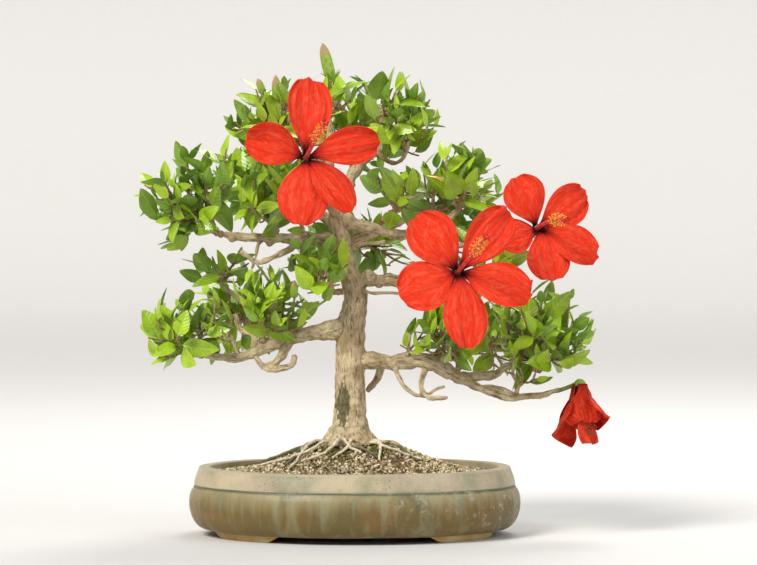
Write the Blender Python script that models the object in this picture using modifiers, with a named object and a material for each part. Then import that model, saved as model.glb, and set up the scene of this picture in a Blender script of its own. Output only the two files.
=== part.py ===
"""Hibiscus bonsai in its oval pot.

The tree is built as a gardener would name it: pot, soil, trunk with surface roots, boughs, masses of
foliage and flowering shoots.  Sizes in the tables are millimetres; every mesh is made in metres.  The
origin lies on the ground under the middle of the plant, +Z is up and the plant's front faces -Y.
"""
import math
import random
from collections import namedtuple

import bmesh
import bpy
from mathutils import Matrix, Vector, noise
from mathutils.bvhtree import BVHTree

MM = 0.001
GAP = 0.3                      # clearance kept between neighbouring solids
GOLDEN_ANGLE = math.pi * (3.0 - math.sqrt(5.0))
UP = Vector((0.0, 0.0, 1.0))
PLANT_SHIFT = Vector((0.5, 6.5, 0.0))   # brings the middle of the plant over the origin

# --- pot and soil ------------------------------------------------------------------------------
POT_X = -16.0
POT_DEPTH_RATIO = 0.75         # depth of the oval over its length
POT_STEPS = 36
RIM_HEIGHT = 62.0
RIM_HALF = 141.0
RIM_WALL = 11.0
GROOVE_HEIGHT = 45.0
GROOVE_HALF = 146.0
BELLY_HALF = 149.6
BELLY_HEIGHT = 30.0
BASE_HALF = 134.0
BASE_HEIGHT = 6.0
FLOOR_HEIGHT = 13.0
FOOT_INSET = 3.0
FOOT_WIDTH = 30.0
FOOT_OVERLAP = 4.0
FRONT_OPENING = (132.0, 152.0)  # width between the feet at the top and at the ground
SIDE_OPENING = (58.0, 76.0)

SOIL_SEAT_HALF = 38.0          # level ground under the root flare
SOIL_SEAT_HEIGHT = 81.0
SOIL_EDGE_HEIGHT = 56.0
SOIL_HOLLOW = 1.7              # how quickly the mound falls away from the trunk
SOIL_RINGS = 4
HUMMOCK_SIZE = 21.0            # low hummocks on the mound: their spread, height and fading in
HUMMOCK_HEIGHT = 3.2
HUMMOCK_FADE = 16.0

# half length and height round the pot's wall, from its inner floor over the rim to its base
POT_PROFILE = (
    (0.0, FLOOR_HEIGHT),
    (BASE_HALF - RIM_WALL - 8.0, FLOOR_HEIGHT),
    (BASE_HALF - RIM_WALL + 2.0, FLOOR_HEIGHT + 7.0),
    (RIM_HALF - RIM_WALL + 1.0, BELLY_HEIGHT + 4.0),
    (RIM_HALF - RIM_WALL, RIM_HEIGHT - 2.0),
    (RIM_HALF - RIM_WALL + 2.0, RIM_HEIGHT),
    (RIM_HALF - 2.0, RIM_HEIGHT),
    (RIM_HALF, RIM_HEIGHT - 2.0),
    (GROOVE_HALF - 1.0, GROOVE_HEIGHT + 2.0),
    (GROOVE_HALF - 1.2, GROOVE_HEIGHT),
    (GROOVE_HALF + 1.4, GROOVE_HEIGHT - 2.0),
    (BELLY_HALF - 0.6, BELLY_HEIGHT + 7.0),
    (BELLY_HALF, BELLY_HEIGHT),
    (BELLY_HALF - 2.0, BELLY_HEIGHT - 9.0),
    (BELLY_HALF - 7.5, BELLY_HEIGHT - 17.0),
    (BASE_HALF, BASE_HEIGHT),
    (0.0, BASE_HEIGHT),
)
FOOT_OUTER = BASE_HALF - FOOT_INSET
FOOT_INNER = FOOT_OUTER - FOOT_WIDTH
FOOT_PROFILE = (
    (FOOT_INNER, BASE_HEIGHT + FOOT_OVERLAP),
    (FOOT_OUTER - 1.0, BASE_HEIGHT + FOOT_OVERLAP),
    (FOOT_OUTER, BASE_HEIGHT),
    (FOOT_OUTER - 2.0, 0.0),
    (FOOT_INNER + 3.0, 0.0),
    (FOOT_INNER, BASE_HEIGHT + FOOT_OVERLAP),
)
# the soil below its surface, down the inside of the pot
SOIL_UNDERSIDE = (
    (RIM_HALF - RIM_WALL - 0.5, BELLY_HEIGHT + 6.0),
    (BASE_HALF - RIM_WALL, FLOOR_HEIGHT + 9.0),
    (BASE_HALF - RIM_WALL - 9.0, FLOOR_HEIGHT + GAP),
    (0.0, FLOOR_HEIGHT + GAP),
)

# --- trunk -------------------------------------------------------------------------------------
# x, y, z and radius up the middle of the trunk
TRUNK_LINE = (
    (-20.3, 0.0, SOIL_SEAT_HEIGHT + GAP, 21.0),
    (-20.6, 0.0, 96.0, 16.4),
    (-20.0, 0.0, 120.0, 13.9),
    (-20.5, 0.0, 154.0, 13.0),
    (-19.0, 1.0, 191.0, 12.4),
    (-15.2, 2.0, 216.0, 10.8),
    (-24.0, 1.0, 243.0, 9.8),
    (-30.0, 0.0, 272.0, 9.2),
    (-33.0, 0.0, 298.0, 7.4),
)
TRUNK_RING_SPACING = 18.0
TRUNK_SIDES = 12
FLARE_HEIGHT = 17.0            # the buttresses die away over this height
FLARE_DEPTH = 7.5
FLARE_FALL = 2.2               # how steeply they do so
BUTTRESS_EDGE = 0.86           # cosine of the angle from its ridge at which a buttress starts
BUTTRESS_ANGLES = (5.0, 62.0, 128.0, 182.0, 236.0, 305.0)
SURFACE_ROOTS = (              # bearing in degrees, reach, radius at the trunk, sideways drift
    (176.0, 86.0, 2.6, 9.0),
    (207.0, 58.0, 3.0, -12.0),
    (254.0, 34.0, 2.4, 9.0),
    (292.0, 36.0, 2.6, -8.0),
    (338.0, 56.0, 3.0, 8.0),
    (24.0, 48.0, 2.6, -7.0),
    (118.0, 50.0, 2.8, 10.0),
)
ROOT_TIP_RADIUS = 1.1
ROOT_CLEARANCE = 1.1           # of a root from the mound along its middle
ROOT_STEPS = 5
ROOT_START = 12.0              # inside the trunk's foot
ROOT_SWAY = 4.2                # radians of its winding from foot to tip
ROOT_SHOULDER = 7.0            # how far to each side of a root the mound is felt for
SKY = 200.0                    # a height above the mound

# --- boughs ------------------------------------------------------------------------------------
Limb = namedtuple("Limb", "name cut_by radii path")
LIMBS = (
    Limb("bough_left_upper", ("trunk",), (6.2, 2.8),
         ((-30, 0, 266), (-55, -8, 267), (-98, -14, 268), (-134, -11, 271))),
    Limb("bough_left_upper_fork", ("bough_left_upper",), (3.4, 2.0),
         ((-62, -9, 267), (-78, -20, 256), (-101, -25, 246), (-118, -27, 256))),
    Limb("bough_left_lower", ("trunk",), (8.8, 2.8),
         ((-21, 0, 188), (-60, -5, 181), (-89, -8, 172), (-117, -12, 160), (-152, -8, 162))),
    Limb("bough_left_riser", ("bough_left_lower",), (2.9, 1.8),
         ((-88, -8, 173), (-102, 8, 196), (-122, 12, 212), (-138, 12, 227))),
    Limb("bough_left_back", ("bough_left_lower",), (4.2, 2.8),
         ((-70, -6, 178), (-90, 24, 181), (-104, 42, 186))),
    Limb("bough_right_lower", ("trunk",), (8.2, 5.6),
         ((-20, 0, 158), (20, -3, 156), (51, -6, 155), (82, -12, 140))),
    Limb("bough_right_end", ("bough_right_lower",), (4.8, 2.6),
         ((78, -11, 143), (108, -4, 144), (125, 0, 153), (148, -3, 149))),
    Limb("bough_right_fork", ("bough_right_lower", "bough_right_end"), (4.2, 2.2),
         ((76, -11, 143), (111, -18, 127), (145, -18, 127), (168, -14, 131))),
    Limb("bough_right_curl", ("bough_right_lower",), (3.0, 1.9),
         ((49, -6, 155), (44, -20, 136), (51, -24, 125), (68, -23, 125))),
    Limb("bough_right_back", ("bough_right_lower",), (4.2, 2.8),
         ((42, -5, 155), (70, 24, 159), (92, 42, 163))),
    Limb("bough_right_middle", ("trunk",), (6.2, 3.0),
         ((-18, 2, 230), (24, 8, 229), (56, 6, 236), (78, 6, 243))),
    Limb("bough_front_right", ("bough_right_middle",), (3.8, 2.4),
         ((34, 7, 231), (54, -25, 231), (68, -58, 236))),
    Limb("bough_right_upper", ("trunk",), (6.2, 2.8),
         ((-32, 0, 286), (0, -4, 277), (29, -6, 271), (60, -8, 279), (76, -8, 292))),
    Limb("bough_right_far", ("bough_right_upper",), (3.0, 2.2),
         ((44, -7, 274.5), (60, -20, 262), (92, -15, 262), (119, -14, 272))),
    Limb("leader_apex", ("trunk",), (6.4, 2.8),
         ((-32.4, 0, 293), (-39, 8, 328), (-38, 8, 358), (-40, 4, 376))),
    Limb("leader_right", ("trunk", "leader_apex"), (6.4, 3.0),
         ((-32, 0, 290), (-14, 6, 332), (4, 8, 347), (12, 5, 362), (8, 3, 377))),
    Limb("bough_front_upper", ("trunk", "leader_apex", "leader_right"), (4.4, 2.6),
         ((-31.6, 0, 287), (-44, -28, 306), (-51, -54, 322))),
    Limb("bough_back_low", ("trunk",), (5.6, 3.0),
         ((-23, 2, 238), (-28, 40, 247), (-22, 64, 255))),
    Limb("bough_back_right", ("trunk",), (5.6, 3.0),
         ((-28, 1, 262), (10, 28, 276), (44, 48, 289))),
    Limb("bough_back_left", ("trunk",), (5.2, 2.8),
         ((-31, 1, 280), (-60, 32, 295), (-82, 54, 307))),
)
LIMB_SPACING = 19.0
THICK_LIMB = 5.0               # radius from which a limb has more sides
SLEEVE_GROWTH = 1.2 * GAP      # how much fatter than its limb a sleeve is that cuts the next one

# --- masses of foliage -------------------------------------------------------------------------
# limb and share of its length where the stem leaves it, middle and half sizes of the space the
# mass keeps to, and the outermost tips that named shoots reach
Mass = namedtuple("Mass", "name limb at centre half tips")
MASSES = (
    Mass("foliage_left_tip", "bough_left_upper", 1.0, (-158, -8, 306), (52, 50, 54),
         ((-208, -16, 322), (-143, -10, 346), (-160, -22, 268), (-196, 6, 300))),
    Mass("foliage_left_inner", "bough_left_upper", 0.55, (-96, -22, 302), (44, 42, 44),
         ((-116, -26, 322),)),
    Mass("foliage_left_shoulder", "leader_apex", 0.55, (-94, 0, 372), (40, 42, 46),
         ((-104, -6, 410), (-118, 2, 384))),
    Mass("foliage_apex", "leader_apex", 1.0, (-38, 0, 388), (38, 40, 36),
         ((-22, -6, 418), (-56, 4, 408))),
    Mass("foliage_apex_right", "leader_right", 1.0, (20, 0, 368), (42, 44, 50),
         ((6, -5, 415), (50, 0, 388), (55, -10, 366))),
    Mass("foliage_right_inner", "bough_right_upper", 0.42, (26, -8, 308), (42, 42, 42),
         ((18, -14, 328),)),
    Mass("foliage_right_upper", "bough_right_upper", 1.0, (72, -12, 316), (40, 42, 46),
         ((56, -12, 353), (104, -15, 312))),
    Mass("foliage_right_middle", "bough_right_middle", 1.0, (98, 16, 250), (44, 44, 42),
         ((124, 8, 258),)),
    Mass("foliage_right_end", "bough_right_end", 1.0, (149, -8, 180), (54, 50, 48),
         ((198, -14, 168), (182, -10, 205), (122, -12, 204))),
    Mass("foliage_right_low", "bough_right_lower", 0.86, (72, -18, 178), (46, 42, 38),
         ((58, -22, 186),)),
    Mass("foliage_left_low_end", "bough_left_lower", 1.0, (-157, -10, 180), (52, 48, 48),
         ((-207, -14, 168), (-193, -12, 210), (-146, -26, 146))),
    Mass("foliage_left_low", "bough_left_lower", 0.55, (-88, -14, 210), (44, 44, 44),
         ((-84, -18, 238),)),
    Mass("foliage_left_rise", "bough_left_riser", 1.0, (-138, 14, 236), (42, 42, 28),
         ((-164, 8, 252),)),
    Mass("foliage_centre", "trunk", 0.60, (-56, -24, 240), (36, 38, 38),
         ((-64, -24, 258),)),
    Mass("foliage_back_low", "bough_back_low", 1.0, (-20, 98, 262), (58, 46, 38),
         ((-20, 138, 262), (20, 112, 268))),
    Mass("foliage_back_right", "bough_back_right", 1.0, (72, 80, 300), (54, 44, 48),
         ((84, 116, 312), (104, 92, 318))),
    Mass("foliage_back_left", "bough_back_left", 1.0, (-106, 80, 316), (54, 44, 48),
         ((-114, 116, 326), (-142, 88, 330))),
    Mass("foliage_back_top", "leader_apex", 0.75, (-18, 62, 370), (52, 40, 46),
         ((-16, 90, 386),)),
    Mass("foliage_back_right_low", "bough_right_back", 1.0, (114, 72, 175), (54, 46, 38),
         ((128, 106, 182), (154, 78, 184))),
    Mass("foliage_back_left_low", "bough_left_back", 1.0, (-122, 72, 196), (54, 46, 40),
         ((-136, 106, 204), (-160, 80, 204))),
)
SPACE_MARGIN = 0.05            # part of the half size left free between two spaces
SPACE_REACH = 1.12             # leaf tips may stand this far out of the half sizes
TWIGS_PER_MASS = 5
TWIG_REACH = (0.46, 0.62)      # ends of the twigs, as a share of the half sizes
TWIG_LEVELS = (0.9, 1.35)      # height of the highest twig end, and the span down to the lowest
TWIG_SAG = (0.05, 0.16)        # of its length
TWIG_FEET = (0.45, 0.9)        # where the later twigs leave the stem, as a share of its points
TWIG_RADII = (1.9, 1.0)
TWIG_STEPS = 2
STEM_STEPS = 2
SIDE_STEM_RADIUS = 2.3         # of a stem that leaves the side of a limb
SHOOT_SLIMMING = 0.92          # a stem's thickness at its foot over that of the limb's tip
STRAIGHT_START = 2.0
SHOOT_TURN = 0.45              # share of its length at which a shoot turns to its end
HEART_DROP = 0.30              # how far below the middle of its space a stem ends
LEAST_RISE = 8.0               # of a stem from its foot to its end
LEAF_LENGTH = (31.0, 42.0)
LEAF_WIDTH = 0.50              # of its length
LEAF_THICKNESS = 1.2
LEAF_WIDEST = 0.42             # of its length from the foot
LEAF_RANKS = 14                # leaves tried along each twig, from its tip down
LEAF_RANK_STEP = 0.055         # of the twig's length between them
LEAF_SPREAD = (0.65, 0.07)     # how far the side leaves turn away, and more for each lower one
LEAF_FIRST = 0.97              # share of the twig at which its end leaf sits
LEAF_LIFT = 0.15
LEAF_FACE_UP = 0.7             # shares of upward, outward and chance in the way a leaf faces
LEAF_FACE_OUT = 0.6
LEAF_FACE_CHANCE = 0.5
LEAF_RIDGE = 0.9               # fold of a leaf over its thickness, on its upper and lower side
LEAF_KEEL = -0.35
LEAVES_PER_MASS = 17
LEAF_TO_TWIG = 2.4             # least distance of a leaf from a twig that does not bear it
LEAF_CLEARANCE = 1.6
FOLIAGE_SEED = 7

# --- blossom -----------------------------------------------------------------------------------
# limb whose tip carries the shoot, throat of the bloom, direction it faces, petal length, spin
Bloom = namedtuple("Bloom", "name limb throat facing petal spin")
BLOOMS = (
    Bloom("bloom_left_upper", "bough_front_upper", (-57, -92, 340), (0.20, -0.93, 0.30), 67.0, 91.0),
    Bloom("bloom_right_middle", "bough_front_right", (76, -98, 240), (0.20, -0.93, 0.28), 70.0, 56.0),
    Bloom("bloom_right_far", "bough_right_far", (149, -36, 278), (0.34, -0.88, 0.28), 60.0, 46.0),
)
PETALS = 5
PETAL_GRID = (2, 5)
PETAL_THICKNESS = 0.9
PETAL_HALF_WIDTH = 0.32        # all shares of the petal's length
PETAL_FOOT = 0.05
PETAL_FLARE = 0.50
PETAL_WIDEST = 0.62
PETAL_LIP = 0.50
PETAL_RISE = 0.20              # how far the bloom is cupped
PETAL_BOW = 2.4                # radians of that cup from throat to lip
PETAL_START = 0.06
PETAL_ROUND = 0.12             # how far the corners of the lip fall back
PETAL_WAVE = 0.030
PETAL_WAVES = (4.0, 2.0)       # radians of the wave across and along
CALYX_LENGTH = 15.0
STALK_STEPS = 3
STALK_RADIUS = 1.8
# distance ahead of the throat and radius, through calyx and column to the stigma
BLOOM_SWELLS = ((-10.0, 5.0), (2.0, 4.6), (8.0, 2.2), (30.0, 1.6), (42.0, 3.6), (60.0, 2.4))
BUD_SIDES = 6
KEEP_CLEAR_BEHIND = 10.0       # room kept free of leaves behind and before an open bloom
KEEP_CLEAR_BEFORE = 90.0
KEEP_CLEAR_ROUND = 1.08        # of the petals' length

WILTED_NAME = "bloom_wilted"
WILTED_LIMB = "bough_right_fork"
WILTED_TOP = (186, -18, 137)
WILTED_LENGTH = 50.0
WILTED_HALF = 28.0
WILTED_SEGMENTS = (12, 8)
WILTED_FURLS = 5               # lobes round the spent bloom and how deep the furls between them are
WILTED_FURL_DEPTH = 0.30
WILTED_MOUTH = 0.35            # width at the top over the half width, and growth down to the hem
WILTED_SPREAD = 0.75
WILTED_DEPTH = 0.8             # its depth over its width
WILTED_HEM = 0.10              # unevenness of its lower edge
WILTED_CAP = 0.15              # how far the stalk runs into it

BUDS = (                       # mass, tip, length and radius
    ("foliage_apex", (-45, -4, 443), 38.0, 5.6),
    ("foliage_left_shoulder", (-87, -10, 414), 24.0, 5.0),
)
BUD_NARROWING = 0.45
BUD_FOOT = 0.9                 # share of the bud's length at which its stalk ends inside it
BUD_STALK_BOW = 3.0
BUD_STALK_RADII = (1.7, 1.3)

# name: base colour, roughness
FINISHES = {
    "glaze": ((0.40, 0.36, 0.24), 0.45),
    "soil": ((0.30, 0.24, 0.16), 0.95),
    "bark": ((0.52, 0.44, 0.33), 0.85),
    "leaf": ((0.16, 0.36, 0.06), 0.40),
    "petal": ((0.80, 0.05, 0.03), 0.50),
}


# --- helpers -----------------------------------------------------------------------------------
def clear_scene():
    for item in list(bpy.data.objects):
        bpy.data.objects.remove(item, do_unlink=True)


def make_materials():
    materials = {}
    for name, (colour, roughness) in FINISHES.items():
        material = bpy.data.materials.new(name)
        material.use_nodes = True
        shader = material.node_tree.nodes["Principled BSDF"]
        shader.inputs["Base Color"].default_value = (*colour, 1.0)
        shader.inputs["Roughness"].default_value = roughness
        material.diffuse_color = (*colour, 1.0)
        materials[name] = material
    return materials


def smooth_line(knots, spacing):
    """Points at about an even spacing on a Catmull-Rom curve through the knots (any dimension)."""
    knots = [tuple(float(value) for value in knot) for knot in knots]
    ends = [tuple(2 * a - b for a, b in zip(knots[0], knots[1]))]
    tail = [tuple(2 * a - b for a, b in zip(knots[-1], knots[-2]))]
    padded = ends + knots + tail
    points = []
    for index in range(1, len(padded) - 2):
        before, start, end, after = padded[index - 1:index + 3]
        steps = max(1, round(math.dist(start[:3], end[:3]) / spacing))
        for step in range(steps):
            t = step / steps
            points.append(tuple(
                0.5 * (2 * b + (c - a) * t + (2 * a - 5 * b + 4 * c - d) * t * t
                       + (3 * b - a - 3 * c + d) * t ** 3)
                for a, b, c, d in zip(before, start, end, after)))
    points.append(knots[-1])
    return points


def bent_line(start, middle, end, steps):
    """Points on a quadratic curve."""
    return [start * (1 - t) ** 2 + middle * 2 * t * (1 - t) + end * t * t
            for t in (step / steps for step in range(steps + 1))]


def taper(radii, count):
    """Radii that thin evenly from the foot to the tip."""
    foot, tip = radii
    return [foot + (tip - foot) * index / (count - 1) for index in range(count)]


def mesh_object(name, mesh, material, collection):
    item = bpy.data.objects.new(name, mesh)
    if material:
        mesh.materials.clear()
        mesh.materials.append(material)
    collection.objects.link(item)
    return item


def bmesh_object(name, bm, material, collection):
    mesh = bpy.data.meshes.new(name)
    bm.to_mesh(mesh)
    bm.free()
    return mesh_object(name, mesh, material, collection)


def evaluated_mesh(item):
    graph = bpy.context.evaluated_depsgraph_get()
    return bpy.data.meshes.new_from_object(item.evaluated_get(graph))


def bake(item):
    """Replaces an object's mesh by what its modifiers make of it, then drops the modifiers."""
    mesh = evaluated_mesh(item)
    old = item.data
    item.modifiers.clear()
    item.data = mesh
    bpy.data.meshes.remove(old)


def three_sided_section(collection):
    """A small triangle that is swept along a twig."""
    curve = bpy.data.curves.new("section", "CURVE")
    spline = curve.splines.new("POLY")
    spline.points.add(2)
    for index, point in enumerate(spline.points):
        angle = index * math.tau / 3
        point.co = (math.cos(angle) * MM, math.sin(angle) * MM, 0.0, 1.0)
    spline.use_cyclic_u = True
    section = bpy.data.objects.new("section", curve)
    section.hide_render = True
    section.display_type = "WIRE"
    collection.objects.link(section)
    return section


def tube(name, points, radii, collection, material=None, section=None, resolution=2):
    """A tapering tube with closed ends through the points, as a welded mesh."""
    curve = bpy.data.curves.new(name, "CURVE")
    curve.dimensions = "3D"
    curve.use_fill_caps = True
    if section:
        curve.bevel_mode = "OBJECT"
        curve.bevel_object = section
    else:
        curve.bevel_depth = MM
        curve.bevel_resolution = resolution
    spline = curve.splines.new("POLY")
    spline.points.add(len(points) - 1)
    for point, place, radius in zip(spline.points, points, radii):
        point.co = (*(Vector(place) + PLANT_SHIFT) * MM, 1.0)
        point.radius = radius
    guide = bpy.data.objects.new(name + "_line", curve)
    collection.objects.link(guide)
    mesh = evaluated_mesh(guide)
    bpy.data.objects.remove(guide, do_unlink=True)
    bpy.data.curves.remove(curve)
    bm = bmesh.new()
    bm.from_mesh(mesh)
    bpy.data.meshes.remove(mesh)
    bmesh.ops.remove_doubles(bm, verts=bm.verts, dist=0.01 * MM)
    bmesh.ops.recalc_face_normals(bm, faces=bm.faces)
    return bmesh_object(name, bm, material, collection)


def join_all(base, pieces):
    """Fuses the pieces of a collection onto the base and removes them."""
    union = base.modifiers.new("join", "BOOLEAN")
    union.operation = "UNION"
    union.operand_type = "COLLECTION"
    union.collection = pieces
    bake(base)
    for piece in list(pieces.objects):
        bpy.data.objects.remove(piece, do_unlink=True)
    keep_largest_shell(base)


def keep_largest_shell(item):
    """Drops loose scraps and sealed hollows that a union may leave."""
    bm = bmesh.new()
    bm.from_mesh(item.data)
    unseen = set(bm.faces)
    shells = []
    while unseen:
        stack = [unseen.pop()]
        shell = []
        while stack:
            face = stack.pop()
            shell.append(face)
            for edge in face.edges:
                for other in edge.link_faces:
                    if other in unseen:
                        unseen.remove(other)
                        stack.append(other)
        shells.append(shell)
    shells.sort(key=len)
    for shell in shells[:-1]:
        bmesh.ops.delete(bm, geom=shell, context="FACES")
    bm.to_mesh(item.data)
    bm.free()


# --- pot and soil ------------------------------------------------------------------------------
def turned_oval(name, profile, material, collection):
    """A profile of (half length, height) turned about the pot's middle and narrowed to an oval."""
    mesh = bpy.data.meshes.new(name)
    points = [((radius * MM), 0.0, height * MM) for radius, height in profile]
    edges = [(index, index + 1) for index in range(len(points) - 1)]
    mesh.from_pydata(points, edges, [])
    item = mesh_object(name, mesh, material, collection)
    screw = item.modifiers.new("turn", "SCREW")
    screw.steps = POT_STEPS
    screw.render_steps = POT_STEPS
    screw.use_merge_vertices = True
    screw.merge_threshold = 0.00001
    screw.use_smooth_shade = True
    bake(item)
    shift = Matrix.Translation((Vector((POT_X, 0.0, 0.0)) + PLANT_SHIFT) * MM)
    item.data.transform(shift @ Matrix.Diagonal((1.0, POT_DEPTH_RATIO, 1.0, 1.0)))
    return item


def wedge(name, along, size, length, collection):
    """The space between two feet: narrower at the top, running right under the pot."""
    top, ground = size
    bm = bmesh.new()
    bmesh.ops.create_cube(bm, size=1.0)
    reach = BASE_HEIGHT + 2.0
    for vert in bm.verts:
        upper = vert.co.z > 0
        width = top if upper else top + (ground - top) * reach / BASE_HEIGHT
        sideways = vert.co.x * width
        lengthways = vert.co.y * length
        flat = (sideways, lengthways) if along == "Y" else (lengthways, sideways)
        vert.co = (flat[0], flat[1], BASE_HEIGHT if upper else BASE_HEIGHT - reach)
        vert.co = (vert.co + Vector((POT_X, 0.0, 0.0)) + PLANT_SHIFT) * MM
    bmesh.ops.recalc_face_normals(bm, faces=bm.faces)
    item = bmesh_object(name, bm, None, collection)
    item.hide_render = True
    item.display_type = "WIRE"
    return item


def cut(item, cutter, name):
    difference = item.modifiers.new(name, "BOOLEAN")
    difference.operation = "DIFFERENCE"
    difference.object = cutter


def build_pot(materials, parts, cutters, loose):
    pot = turned_oval("pot", POT_PROFILE, materials["glaze"], parts)
    foot_ring = turned_oval("feet", FOOT_PROFILE, None, loose)
    bm = bmesh.new()
    bm.from_mesh(foot_ring.data)
    bmesh.ops.remove_doubles(bm, verts=bm.verts, dist=0.01 * MM)
    bmesh.ops.recalc_face_normals(bm, faces=bm.faces)
    bm.to_mesh(foot_ring.data)
    bm.free()
    across = 4 * BELLY_HALF
    for name, along, size in (("gap_front", "Y", FRONT_OPENING), ("gap_side", "X", SIDE_OPENING)):
        cut(foot_ring, wedge(name, along, size, across, cutters), name)
    bake(foot_ring)
    join_all(pot, loose)
    return pot


def soil_height(share):
    """Height of the mound at a share of the way from its seat to the pot's wall."""
    fall = SOIL_SEAT_HEIGHT - SOIL_EDGE_HEIGHT
    return SOIL_EDGE_HEIGHT + fall * (1.0 - share) ** SOIL_HOLLOW


def hummock(x, y):
    """Rise or dip of the mound's surface, level at the pot's wall and under the trunk."""
    half = math.hypot(x - POT_X, y / POT_DEPTH_RATIO)
    to_wall = min(max((RIM_HALF - RIM_WALL - half) / HUMMOCK_FADE, 0.0), 1.0)
    to_seat = min(max((half - SOIL_SEAT_HALF) / HUMMOCK_FADE, 0.0), 1.0)
    return noise.noise(Vector((x, y, 0.0)) / HUMMOCK_SIZE) * HUMMOCK_HEIGHT * to_wall * to_seat


def build_soil(materials, parts):
    edge = SOIL_UNDERSIDE[0][0]
    profile = [(0.0, SOIL_SEAT_HEIGHT)]
    for ring in range(SOIL_RINGS + 1):
        share = ring / SOIL_RINGS
        profile.append((SOIL_SEAT_HALF + (edge - SOIL_SEAT_HALF) * share, soil_height(share)))
    soil = turned_oval("soil", profile + list(SOIL_UNDERSIDE), materials["soil"], parts)
    for vert in soil.data.vertices:
        place = vert.co / MM - PLANT_SHIFT
        if place.z > SOIL_EDGE_HEIGHT - GAP:
            vert.co.z += hummock(place.x, place.y) * MM
    return soil


def surface_of(item):
    """Tree of an object's faces, to cast rays at."""
    mesh = item.data
    return BVHTree.FromPolygons([vert.co for vert in mesh.vertices],
                                [face.vertices for face in mesh.polygons])


def height_under(surface, place):
    """Height of the mound under a root: the highest of five places round it."""
    heights = []
    for x, y in ((0.0, 0.0), (1.0, 0.0), (-1.0, 0.0), (0.0, 1.0), (0.0, -1.0)):
        start = Vector((place.x + x * ROOT_SHOULDER, place.y + y * ROOT_SHOULDER, SKY))
        hit = surface.ray_cast((start + PLANT_SHIFT) * MM, -UP)[0]
        if hit:
            heights.append(hit.z / MM)
    return max(heights)


# --- trunk and boughs --------------------------------------------------------------------------
def trunk_radius(radius, height, angle):
    """Radius with the buttresses of the root flare added near the ground."""
    above = (height - SOIL_SEAT_HEIGHT) / FLARE_HEIGHT
    fade = math.exp(-FLARE_FALL * above * above)
    swell = max(math.cos(angle - math.radians(bearing)) for bearing in BUTTRESS_ANGLES)
    return radius + FLARE_DEPTH * fade * max(0.0, (swell - BUTTRESS_EDGE) / (1.0 - BUTTRESS_EDGE))


def build_trunk_body(name, grow, material, collection):
    """Rings of the trunk's changing section, bridged from the ground to the fork."""
    line = smooth_line(TRUNK_LINE, TRUNK_RING_SPACING)
    line.insert(1, tuple((a + b) / 2 for a, b in zip(line[0], line[1])))
    line[-1] = tuple(a + b for a, b in zip(line[-1], (0.0, 0.0, grow, 0.0)))
    bm = bmesh.new()
    rings = []
    for x, y, height, radius in line:
        ring = []
        for side in range(TRUNK_SIDES):
            angle = math.tau * side / TRUNK_SIDES
            reach = trunk_radius(radius, height, angle) + grow
            place = Vector((x + reach * math.cos(angle), y + reach * math.sin(angle), height))
            ring.append(bm.verts.new((place + PLANT_SHIFT) * MM))
        rings.append(ring)
    for lower, upper in zip(rings, rings[1:]):
        for side in range(TRUNK_SIDES):
            after = (side + 1) % TRUNK_SIDES
            bm.faces.new((lower[side], lower[after], upper[after], upper[side]))
    bm.faces.new(reversed(rings[0]))
    bm.faces.new(rings[-1])
    return bmesh_object(name, bm, material, collection)


def root_line(bearing, reach, radius, drift, surface):
    """A root that runs out from the flare and follows the fall of the soil."""
    angle = math.radians(bearing)
    outward = Vector((math.cos(angle), math.sin(angle), 0.0))
    sideways = Vector((-outward.y, outward.x, 0.0))
    foot = Vector(TRUNK_LINE[0][:3])
    points = []
    radii = taper((radius, ROOT_TIP_RADIUS), ROOT_STEPS + 1)
    for step, thick in enumerate(radii):
        share = step / ROOT_STEPS
        place = foot + outward * (ROOT_START + reach * share)
        place += sideways * drift * math.sin(share * ROOT_SWAY)
        place.z = height_under(surface, place) + thick + ROOT_CLEARANCE
        points.append(place)
    return points, radii


def build_trunk(soil, materials, parts, loose):
    trunk = build_trunk_body("trunk", 0.0, materials["bark"], parts)
    surface = surface_of(soil)
    for number, root in enumerate(SURFACE_ROOTS):
        points, radii = root_line(*root, surface)
        tube(f"root_{number}", points, radii, loose, resolution=1)
    join_all(trunk, loose)
    return trunk


def limb_line(limb):
    points = [Vector(point) for point in smooth_line(limb.path, LIMB_SPACING)]
    return points, taper(limb.radii, len(points))


def build_limbs(materials, parts, cutters):
    """Every bough, cut off 0.3 mm clear of the limb that carries it."""
    wanted = {name for limb in LIMBS for name in limb.cut_by}
    sleeves = {"trunk": build_trunk_body("sleeve_trunk", SLEEVE_GROWTH, None, cutters)}
    for limb in LIMBS:
        points, radii = limb_line(limb)
        resolution = 2 if limb.radii[0] > THICK_LIMB else 1
        item = tube(limb.name, points, radii, parts, materials["bark"], resolution=resolution)
        for name in limb.cut_by:
            cut(item, sleeves[name], "clear_of_" + name)
        if limb.name in wanted:
            onward = (points[-1] - points[-2]).normalized() * SLEEVE_GROWTH
            grown = [radius + SLEEVE_GROWTH for radius in radii]
            sleeves[limb.name] = tube("sleeve_" + limb.name, points[:-1] + [points[-1] + onward],
                                      grown, cutters, resolution=resolution)
    for sleeve in sleeves.values():
        sleeve.hide_render = True
        sleeve.display_type = "WIRE"


# --- the plant's own rule of growth ------------------------------------------------------------
def obstacle_lines():
    """Centre lines and radii of everything woody that foliage has to keep clear of."""
    lines = {limb.name: limb_line(limb) for limb in LIMBS}
    trunk = smooth_line(TRUNK_LINE, TRUNK_RING_SPACING)
    lines["trunk"] = ([Vector(point[:3]) for point in trunk], [point[3] for point in trunk])
    return lines


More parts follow.
